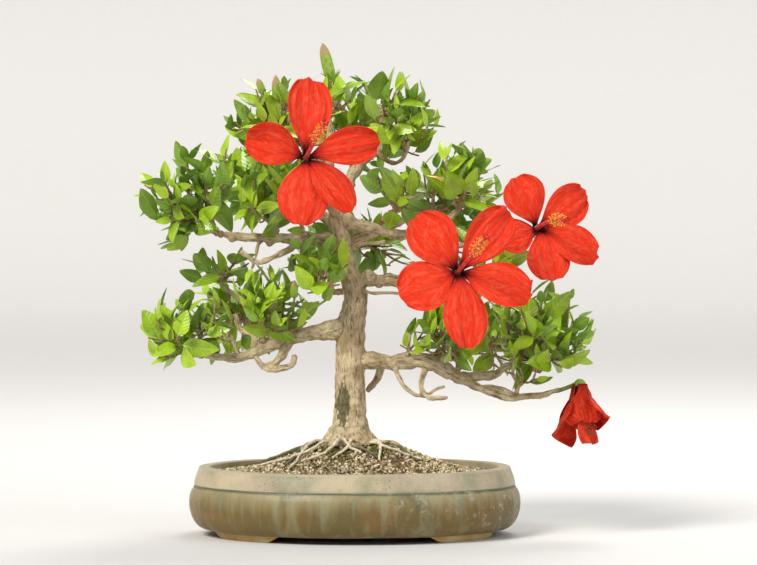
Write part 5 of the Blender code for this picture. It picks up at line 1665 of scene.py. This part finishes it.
def build_petal(start, axis, tip, shape, number, grid=PETAL_GRID, foot=0.0, crumple=1.0):
    """One petal, shaped from a grid: fanned out, cupped, folded and ruffled at its lip.

    The shape is its half width, belly, twist and roll; the foot widens it where it starts.
    """
    half, belly, twist, roll = shape
    outward = tip - start
    outward = (outward - axis * outward.dot(axis)).normalized()
    middle = petal_line(start, axis, outward, tip, belly)
    length = (tip - start).length
    petal = primitive(bpy.ops.mesh.primitive_grid_add, x_subdivisions=grid[0], y_subdivisions=grid[1],
                      size=2.0)
    phase = 2.4 * number + tip.x
    places = []
    for vert in petal.data.vertices:
        u, v = vert.co.x, (vert.co.y + 1.0) / 2
        along = petal_along(u, v) + 0.006 * math.sin(u * 7.0 + phase) * v ** 3
        tangent = (middle(along + 0.01) - middle(along - 0.01)).normalized()
        turn = Matrix.Rotation(math.radians(twist) * smooth_step(along, 0.1, 1.0), 3, tangent)
        across = turn @ axis.cross(outward).normalized()
        face = tangent.cross(across).normalized()
        if face.dot(axis) < 0 and along > 0.3:
            face = -face
        wide = petal_half(v, half) + foot * (1.0 - v)
        lift = -0.10 * wide * u * u * (1.0 - v) * 2.0
        lift += roll * length * max(0.0, abs(u) - 0.25) ** 2 * smooth_step(v, 0.25, 0.8) * (
            1.0 if u * roll > 0 or number % 2 else 0.35) * 2.2
        lift += petal_lift(u, v, phase, crumple)
        places.append(middle(along) + across * (u * wide) + face * lift)
    move_to(petal, np.array(places))
    for loop in petal.data.uv_layers[0].data:
        loop.uv.x = (loop.uv.x + number) / 5.0
    apply_modifier(petal, "SOLIDIFY", thickness=PETAL_THICKNESS * MM, offset=0.0)
    return petal


def lobed_cup(heap, base, axis, outline, reach):
    """A calyx: a tube of (place along its axis, radius) whose mouth runs out into pointed lobes."""
    sides = CALYX_LOBES * 6
    points = [base + axis * ahead for ahead, _ in outline]
    places, faces, marks = tube_shape(points, [radius for _, radius in outline], sides)
    axis = (points[-1] - points[-2]).normalized()
    last = (len(points) - 1) * sides
    centre = points[-1]
    for corner in range(sides):
        angle = math.tau * corner * CALYX_LOBES / sides
        peak = max(0.0, math.cos(angle)) ** 1.5
        place = places[last + corner]
        places[last + corner] = place + axis * reach * peak + (place - centre) * 0.25 * (peak - 0.3)
    heap.add(places, faces, marks, "calyx")


def add_bracts(heap, foot, axis, ring, lean, length, rng):
    """A ring of narrow leaves at the foot of a bud or a bloom, in the calyx's own colour."""
    for number in range(BRACTS):
        side = turned(axis, math.tau * number / BRACTS)
        placed = leaf_frame(foot + side * ring, lean(side), axis - side)
        add_leaf(heap, placed, length, BRACT_WIDTH, "calyx", rng, under="calyx")


def add_stalk(heap, limb, end):
    """The stalk of a bloom, from its limb's tip; returns how many points it has."""
    foot, along, radius = tip_foot(*limb)
    stalk = finely(shoot_line(foot - along * 3.0, along, end, STALK_STEPS), 3.0)
    heap.tube(stalk, (radius, STALK_RADIUS), 9, "stalk")
    return len(stalk)


def throat_and_axis(bloom):
    return Vector(bloom.throat), Vector(bloom.facing).normalized()


def build_stalk(bloom, lines, materials):
    """Stalk, epicalyx and calyx behind an open bloom."""
    throat, axis = throat_and_axis(bloom)
    heap = Heap("stalk", "calyx")
    count = add_stalk(heap, lines[bloom.limb], throat - axis * (CALYX_LENGTH + 6.0))
    lobed_cup(heap, throat, axis, CALYX, CALYX_TEETH)
    add_bracts(heap, throat - axis * 26.0, axis, 2.2, lambda side: axis * 1.3 + side, 9.0,
               random.Random(count))
    return heap.piece(bloom.name.replace("bloom", "stalk"), materials)


def build_column(bloom, anthers, materials):
    """The column that stands out of the bloom, with its anthers and five stigma pads."""
    throat, axis = throat_and_axis(bloom)
    end = throat + Vector(bloom.column)
    line = finely(bent_line(throat - axis * THROAT_DEPTH, throat + axis * 22.0 + UP * 2.0, end, 6), 2.5)
    heap = Heap("column", "filament", "anther", "stigma")
    heap.tube(line, COLUMN_RADII, 10, "column")
    rng = random.Random(COLUMN_SEED + len(line))
    shape, faces = grain_shape()
    for number in range(anthers):
        foot, along = along_line(line, ANTHER_BAND[0] + ANTHER_BAND[1] * (number + 0.5) / anthers)
        side = turned(along, number * GOLDEN_ANGLE)
        heading = (side + along * rng.uniform(0.0, 0.7)).normalized()
        reach = rng.uniform(*FILAMENT_REACH)
        tip = foot + heading * reach
        filament = [foot, foot + heading * reach * 0.5 + UP * 0.2, tip]
        heap.add(*tube_shape(filament, (0.3, 0.24, 0.2), 4), "filament")
        size = np.array([rng.uniform(0.8, 1.2), rng.uniform(0.8, 1.1), rng.uniform(0.6, 0.9)])
        heap.add(shape * size + np.array(tip), faces, tint="anther")
    tip, along = along_line(line, 1.0)
    for number in range(STIGMAS):
        heading = turned(along, math.tau * number / STIGMAS)
        pad = tip + along * 4.2 + heading * 2.6
        style = [tip - along, tip + along * 1.8 + heading * 0.6, pad]
        heap.add(*tube_shape(style, (0.5, 0.42, 0.4), 6), "column")
        heap.add(shape * np.array(STIGMA_SIZE) + np.array(pad + along * 0.3), faces, tint="stigma")
    return heap.piece(bloom.name.replace("bloom", "column"), materials, 60.0)


def build_open_petals(bloom):
    throat, axis = throat_and_axis(bloom)
    petals = []
    for number, petal in enumerate(bloom.petals):
        ahead = (petal.tip_rise - axis.x * petal.across - axis.z * petal.up) / axis.y
        tip = throat + Vector((petal.across, ahead, petal.up))
        outward = (tip - throat - axis * (tip - throat).dot(axis)).normalized()
        start = throat - axis * THROAT_DEPTH + outward * THROAT_RADIUS
        petals.append(build_petal(start, axis, tip, petal.shape, number))
    return join(petals, bloom.name.replace("bloom", "petals"))


def build_wilted_petals():
    top = Vector(WILTED_TOP)
    axis = Vector(WILTED_AXIS).normalized()
    petals = []
    for number, (reach, shape) in enumerate(WILTED_PETALS):
        outward = Vector(reach) - axis * Vector(reach).dot(axis)
        start = top - UP * 0.5 + outward.normalized() * WILTED_MOUTH * 0.85
        petals.append(build_petal(start, axis, top + Vector(reach), shape, number, WILTED_GRID,
                                  WILTED_FOOT, WILTED_CRUMPLE))
    return join(petals, "petals_wilted")


def build_wilted_stalk(lines, materials):
    """Stalk and calyx of the wilted bloom, and the spent anthers that hang from its mouth."""
    top = Vector(WILTED_TOP)
    heap = Heap("stalk", "calyx", "spent_anther")
    add_stalk(heap, lines[WILTED_LIMB], top + UP * 2.0)
    axis = Vector(WILTED_AXIS).normalized()
    lobed_cup(heap, top, axis, WILTED_CALYX, WILTED_TEETH)
    rng = random.Random(SPENT_SEED)
    shape, faces = grain_shape()
    centre = top + Vector(SPENT_ANTHERS_AT)
    for _ in range(SPENT_ANTHERS):
        offset = Vector([rng.gauss(0.0, 1.0) for _ in range(3)]) * SPENT_SPREAD
        heap.add(shape * rng.uniform(0.6, 1.1) + np.array(centre + offset), faces, tint="spent_anther")
    return heap.piece("stalk_wilted", materials)


def build_buds(materials):
    """Closed buds on their stalks, each in its ribbed calyx with narrow bracts at the foot."""
    heap = Heap("stalk", "calyx", "bud_tip")
    rng = random.Random(BUD_SEED)
    for bud in BUDS:
        foot, base, tip = Vector(bud.foot), Vector(bud.base), Vector(bud.tip)
        axis = (tip - base).normalized()
        length = (tip - base).length
        stalk = finely(bent_line(foot, (foot + base) / 2 + axis.cross(UP) * 3.0, base, 5), 3.0)
        heap.tube(stalk, BUD_STALK_RADII, 7, "stalk")
        body = [base + axis * length * share for share, _ in BUD_OUTLINE]
        swells = [bud.radius * swell for _, swell in BUD_OUTLINE]
        places, faces, marks = tube_shape(body, swells, BUD_SIDES)
        for index, place in enumerate(places):
            ring = body[index // BUD_SIDES]
            rib = 1.0 + 0.09 * math.cos(math.tau * CALYX_LOBES * (index % BUD_SIDES) / BUD_SIDES)
            places[index] = ring + (place - ring) * rib
        tints = ["calyx" if index // BUD_SIDES < 5 else "bud_tip" for index in range(len(faces))]
        heap.add(places, faces, marks, tints)
        add_bracts(heap, base, axis, 0.8, lambda side: axis + side * 0.75, length * 0.34, rng)
    return heap.piece("flower_buds", materials)


# --- settings a user may change ----------------------------------------------------------------
def colour_setting(name, description, default):
    return bpy.props.FloatVectorProperty(name=name, description=description, default=default,
                                         size=3, min=0.0, max=1.0, subtype="COLOR")


class BonsaiPotSettings(bpy.types.PropertyGroup):
    glaze: colour_setting("Glaze", "Main colour of the glazed belly", (0.14, 0.102, 0.030))
    rim: colour_setting("Rim glaze", "Colour of the greyer band under the rim", (0.50, 0.43, 0.28))
    unevenness: bpy.props.FloatProperty(
        name="Unevenness", description="How far the handmade wall strays from a true oval",
        default=0.0005, min=0.0, max=0.003, unit="LENGTH", subtype="DISTANCE", precision=4)


class BonsaiSoilSettings(bpy.types.PropertyGroup):
    grains: bpy.props.IntProperty(
        name="Grains", description="Number of grit grains on the mound", default=GRAINS,
        min=100, max=9600)


class BonsaiWoodSettings(bpy.types.PropertyGroup):
    pale: colour_setting("Pale bark", "Colour of the bark's raised plates", BARK_PALE)
    dark: colour_setting("Dark bark", "Colour deep in the fissures", BARK_DARK)
    relief: bpy.props.FloatProperty(
        name="Relief", description="Depth of the bark's lumps and fissures", default=0.0011,
        min=0.0, max=0.003, unit="LENGTH", subtype="DISTANCE", precision=4)


class BonsaiLeafSettings(bpy.types.PropertyGroup):
    young: colour_setting("Young leaf", "Colour of the newest leaves", (0.43, 0.65, 0.02))
    ripe: colour_setting("Ripe leaf", "Colour of most leaves", (0.31, 0.49, 0.012))
    old: colour_setting("Old leaf", "Colour of the oldest, deepest leaves", (0.19, 0.36, 0.012))


class BonsaiBloomSettings(bpy.types.PropertyGroup):
    petal: colour_setting("Petal", "Main colour of the petals", (0.80, 0.030, 0.004))
    # painted highlight: the pale colour laid on the petals' raised folds
    lit: colour_setting("Raised folds", "Colour on the petals' raised folds", (0.86, 0.13, 0.06))
    anther: colour_setting("Anther", "Colour of the anthers", (0.90, 0.42, 0.05))
    anthers: bpy.props.IntProperty(
        name="Anthers", description="Number of anthers on a column", default=ANTHERS, min=5, max=120)


class BonsaiStageSettings(bpy.types.PropertyGroup):
    floor: colour_setting("Floor", "Colour of the floor and backdrop", (0.70, 0.69, 0.675))
    strength: bpy.props.FloatProperty(
        name="Light", description="Share of the lamps' full power", default=1.0, min=0.1, max=4.0,
        subtype="FACTOR")


# --- finishes of each piece --------------------------------------------------------------------
def leaf_materials(settings):
    young, ripe, old = (tuple(colour) for colour in (settings.young, settings.ripe, settings.old))
    # light and dark colour, roughness and coat
    leaves = {
        "leaf_young": (young, darker(young, 0.72), 0.36, 0.25),
        "leaf_mid": (ripe, darker(ripe, 0.6), 0.33, 0.35),
        "leaf_deep": (old, darker(old, 0.6), 0.30, 0.45),
        "leaf_yellow": (LEAF_GOLD, LEAF_AMBER, 0.4, 0.2),
        "leaf_under": (LEAF_BACK, LEAF_BACK_DARK, 0.5, 0.0),
    }
    materials = {name: leaf_finish(name, *values) for name, values in leaves.items()}
    materials["twig"] = mottled("twig", TWIG_PALE, TWIG_BROWN, 0.8, 0.25, 420.0, 0.12, (900.0, 0.25))
    materials["petiole"] = stalk_finish("petiole", young, ripe)
    return materials


def bloom_materials(settings):
    petal, lit, anther = (tuple(colour) for colour in (settings.petal, settings.lit, settings.anther))
    materials = {name: stalk_finish(name, *colours) for name, colours in STALK_COLOURS.items()}
    # the lit colour is a painted highlight on the raised folds of the open and the wilted petals
    materials["petal"] = petal_finish("petal", petal, lit, (0.19, 0.29), (0.25, 0.42))
    materials["spent_petal"] = petal_finish("spent_petal", darker(petal, 0.84), lit, (0.0, 0.04),
                                            (0.02, 0.30))
    grains = {**STAMEN_COLOURS, "anther": (anther, darker(anther, 0.75))}
    materials.update((name, grit_finish(name, *colours)) for name, colours in grains.items())
    return materials


# --- operators ---------------------------------------------------------------------------------
class BONSAI_OT_pot(bpy.types.Operator):
    """Build the glazed oval pot and its bare clay feet"""
    bl_idname = "bonsai.pot"
    bl_label = "Pot"

    def execute(self, context):
        settings = context.scene.bonsai_pot
        dress(build_pot_body(settings.unevenness / MM), glaze_finish(settings), "glaze", "pot",
              smooth_angle=40)
        dress(build_pot_feet(), clay_finish(), "glaze", "pot", smooth_angle=35)
        return {"FINISHED"}


class BONSAI_OT_soil(bpy.types.Operator):
    """Build the mound of soil and strew it with grit and moss"""
    bl_idname = "bonsai.soil"
    bl_label = "Soil"

    def execute(self, context):
        materials = {name: grit_finish(name, *colours) for name, colours in GRIT_COLOURS.items()}
        dress(build_mound(), materials["earth"], "soil", "soil", smooth_angle=60)
        dress(build_grains(context.scene.bonsai_soil.grains, materials), None, "soil", "soil")
        return {"FINISHED"}


class BONSAI_OT_wood(bpy.types.Operator):
    """Build the trunk, boughs and roots as one skin of bark, and the fine roots beside it"""
    bl_idname = "bonsai.wood"
    bl_label = "Trunk and boughs"

    def execute(self, context):
        settings = context.scene.bonsai_wood
        nodes = ["trunk"] + [limb.name for limb in LIMBS]
        dress(build_wood(settings.relief / MM), bark_finish(settings), "bark", *nodes)
        roots = mottled("root", ROOT_PALE, ROOT_SHADE, 0.85, 0.25, 300.0, 0.12, (700.0, 0.25))
        dress(build_fine_roots(), roots, "bark", "trunk")
        return {"FINISHED"}


class BONSAI_OT_foliage(bpy.types.Operator):
    """Grow the twigs and leaves of every mass from its limb"""
    bl_idname = "bonsai.foliage"
    bl_label = "Foliage"

    def execute(self, context):
        materials = leaf_materials(context.scene.bonsai_leaf)
        lines = wood_lines()
        for mass in MASSES:
            lines["stem_" + mass.name] = stem_line(mass, lines)
        for mass in MASSES:
            twigs, leaves, count = grow_mass(mass, lines, materials)
            print(f"{mass.name}: {count} leaves")
            if not count:
                raise RuntimeError(f"{mass.name} bears no leaves")
            dress(twigs, None, "bark", mass.name)
            dress(leaves, None, "leaf", mass.name)
        return {"FINISHED"}


class BONSAI_OT_blooms(bpy.types.Operator):
    """Build the three open blooms, the wilted one and the buds"""
    bl_idname = "bonsai.blooms"
    bl_label = "Blooms and buds"

    def execute(self, context):
        settings = context.scene.bonsai_bloom
        materials = bloom_materials(settings)
        lines = wood_lines()
        for bloom in BLOOMS:
            dress(build_open_petals(bloom), materials["petal"], "petal", bloom.name, smooth_angle=60)
            dress(build_column(bloom, settings.anthers, materials), None, "petal", bloom.name)
            dress(build_stalk(bloom, lines, materials), None, "leaf", bloom.name)
        dress(build_wilted_petals(), materials["spent_petal"], "petal", WILTED_NAME, smooth_angle=60)
        dress(build_wilted_stalk(lines, materials), None, "leaf", WILTED_NAME)
        dress(build_buds(materials), None, "leaf", *BUD_MASSES)
        return {"FINISHED"}


class BONSAI_OT_stage(bpy.types.Operator):
    """Set the floor, the lights and the camera"""
    bl_idname = "bonsai.stage"
    bl_label = "Stage"

    def execute(self, context):
        settings = context.scene.bonsai_stage
        build_floor(settings)
        add_lights(settings.strength)
        add_camera()
        return {"FINISHED"}


class BONSAI_PT_panel(bpy.types.Panel):
    """Lists the pieces of the bonsai and their settings"""
    bl_idname = "BONSAI_PT_panel"
    bl_label = "Hibiscus bonsai"
    bl_space_type = "VIEW_3D"
    bl_region_type = "UI"
    bl_category = "Bonsai"

    def draw(self, context):
        for (operator, group), names in zip(PANEL_ROWS, PANEL_NAMES):
            box = self.layout.box()
            settings = getattr(context.scene, group)
            for name in names:
                box.prop(settings, name)
            box.operator(operator.bl_idname)


# --- stage -------------------------------------------------------------------------------------
def build_floor(settings):
    """A wide floor that curves up into a backdrop."""
    floor = primitive(bpy.ops.mesh.primitive_grid_add, x_subdivisions=2, y_subdivisions=40, size=2.0)
    floor.name = "floor"
    flat = 2 * FLOOR_HALF
    for vert in floor.data.vertices:
        run = (vert.co.y + 1.0) * flat - FLOOR_HALF
        angle = min(max((run - BACKDROP_Y) / BACKDROP_BEND, 0.0), math.pi / 2)
        y = min(run, BACKDROP_Y) + BACKDROP_BEND * math.sin(angle)
        up = BACKDROP_BEND * (1.0 - math.cos(angle)) + max(
            0.0, run - BACKDROP_Y - BACKDROP_BEND * math.pi / 2)
        vert.co = (vert.co.x * flat, y, up)
    pale = tuple(settings.floor)
    floor.data.materials.append(mottled("floor", darker(pale, 0.985), pale, 0.9, 0.2, 60.0, 0.2,
                                        detail=3.0))
    pick(floor)
    bpy.ops.object.shade_smooth()
    return floor


def aim(item, target):
    item.rotation_euler = (Vector(target) - item.location).to_track_quat("-Z", "Y").to_euler()


def add_lights(strength):
    for kind, place, height, spread, power, colour in LAMPS:
        bpy.ops.object.light_add(type=kind, location=place)
        lamp = bpy.context.object
        setattr(lamp.data, "angle" if kind == "SUN" else "size", spread)
        lamp.data.energy = power * strength
        lamp.data.color = colour
        aim(lamp, (0.0, 0.0, height))
    world = bpy.data.worlds.new("studio")
    world.use_nodes = True
    sky = world.node_tree.nodes["Background"]
    sky.inputs["Color"].default_value = (*SKY_COLOUR, 1.0)
    sky.inputs["Strength"].default_value = SKY_POWER * strength
    bpy.context.scene.world = world


def add_camera():
    bpy.ops.object.camera_add(location=CAMERA_PLACE)
    camera = bpy.context.object
    camera.data.lens = CAMERA_LENS
    camera.data.clip_end = CAMERA_SIGHT
    aim(camera, CAMERA_AIM)
    bpy.context.scene.camera = camera
    bpy.context.scene.view_settings.view_transform = "Standard"


# --- registration ------------------------------------------------------------------------------
GROUPS = (
    ("bonsai_pot", BonsaiPotSettings),
    ("bonsai_soil", BonsaiSoilSettings),
    ("bonsai_wood", BonsaiWoodSettings),
    ("bonsai_leaf", BonsaiLeafSettings),
    ("bonsai_bloom", BonsaiBloomSettings),
    ("bonsai_stage", BonsaiStageSettings),
)
OPERATORS = (BONSAI_OT_pot, BONSAI_OT_soil, BONSAI_OT_wood, BONSAI_OT_foliage, BONSAI_OT_blooms,
             BONSAI_OT_stage)
PANEL_ROWS = [(operator, key) for operator, (key, _) in zip(OPERATORS, GROUPS)]
PANEL_NAMES = [tuple(group.__annotations__) for _, group in GROUPS]


def register():
    for key, group in GROUPS:
        bpy.utils.register_class(group)
        setattr(bpy.types.Scene, key, bpy.props.PointerProperty(type=group))
    for operator in OPERATORS:
        bpy.utils.register_class(operator)
    bpy.utils.register_class(BONSAI_PT_panel)


def unregister():
    bpy.utils.unregister_class(BONSAI_PT_panel)
    for operator in reversed(OPERATORS):
        bpy.utils.unregister_class(operator)
    for key, group in reversed(GROUPS):
        delattr(bpy.types.Scene, key)
        bpy.utils.unregister_class(group)


def main():
    register()
    bpy.ops.bonsai.pot()
    bpy.ops.bonsai.soil()
    bpy.ops.bonsai.wood()
    bpy.ops.bonsai.foliage()
    bpy.ops.bonsai.blooms()
    bpy.ops.bonsai.stage()


if __name__ == "__main__":
    main()
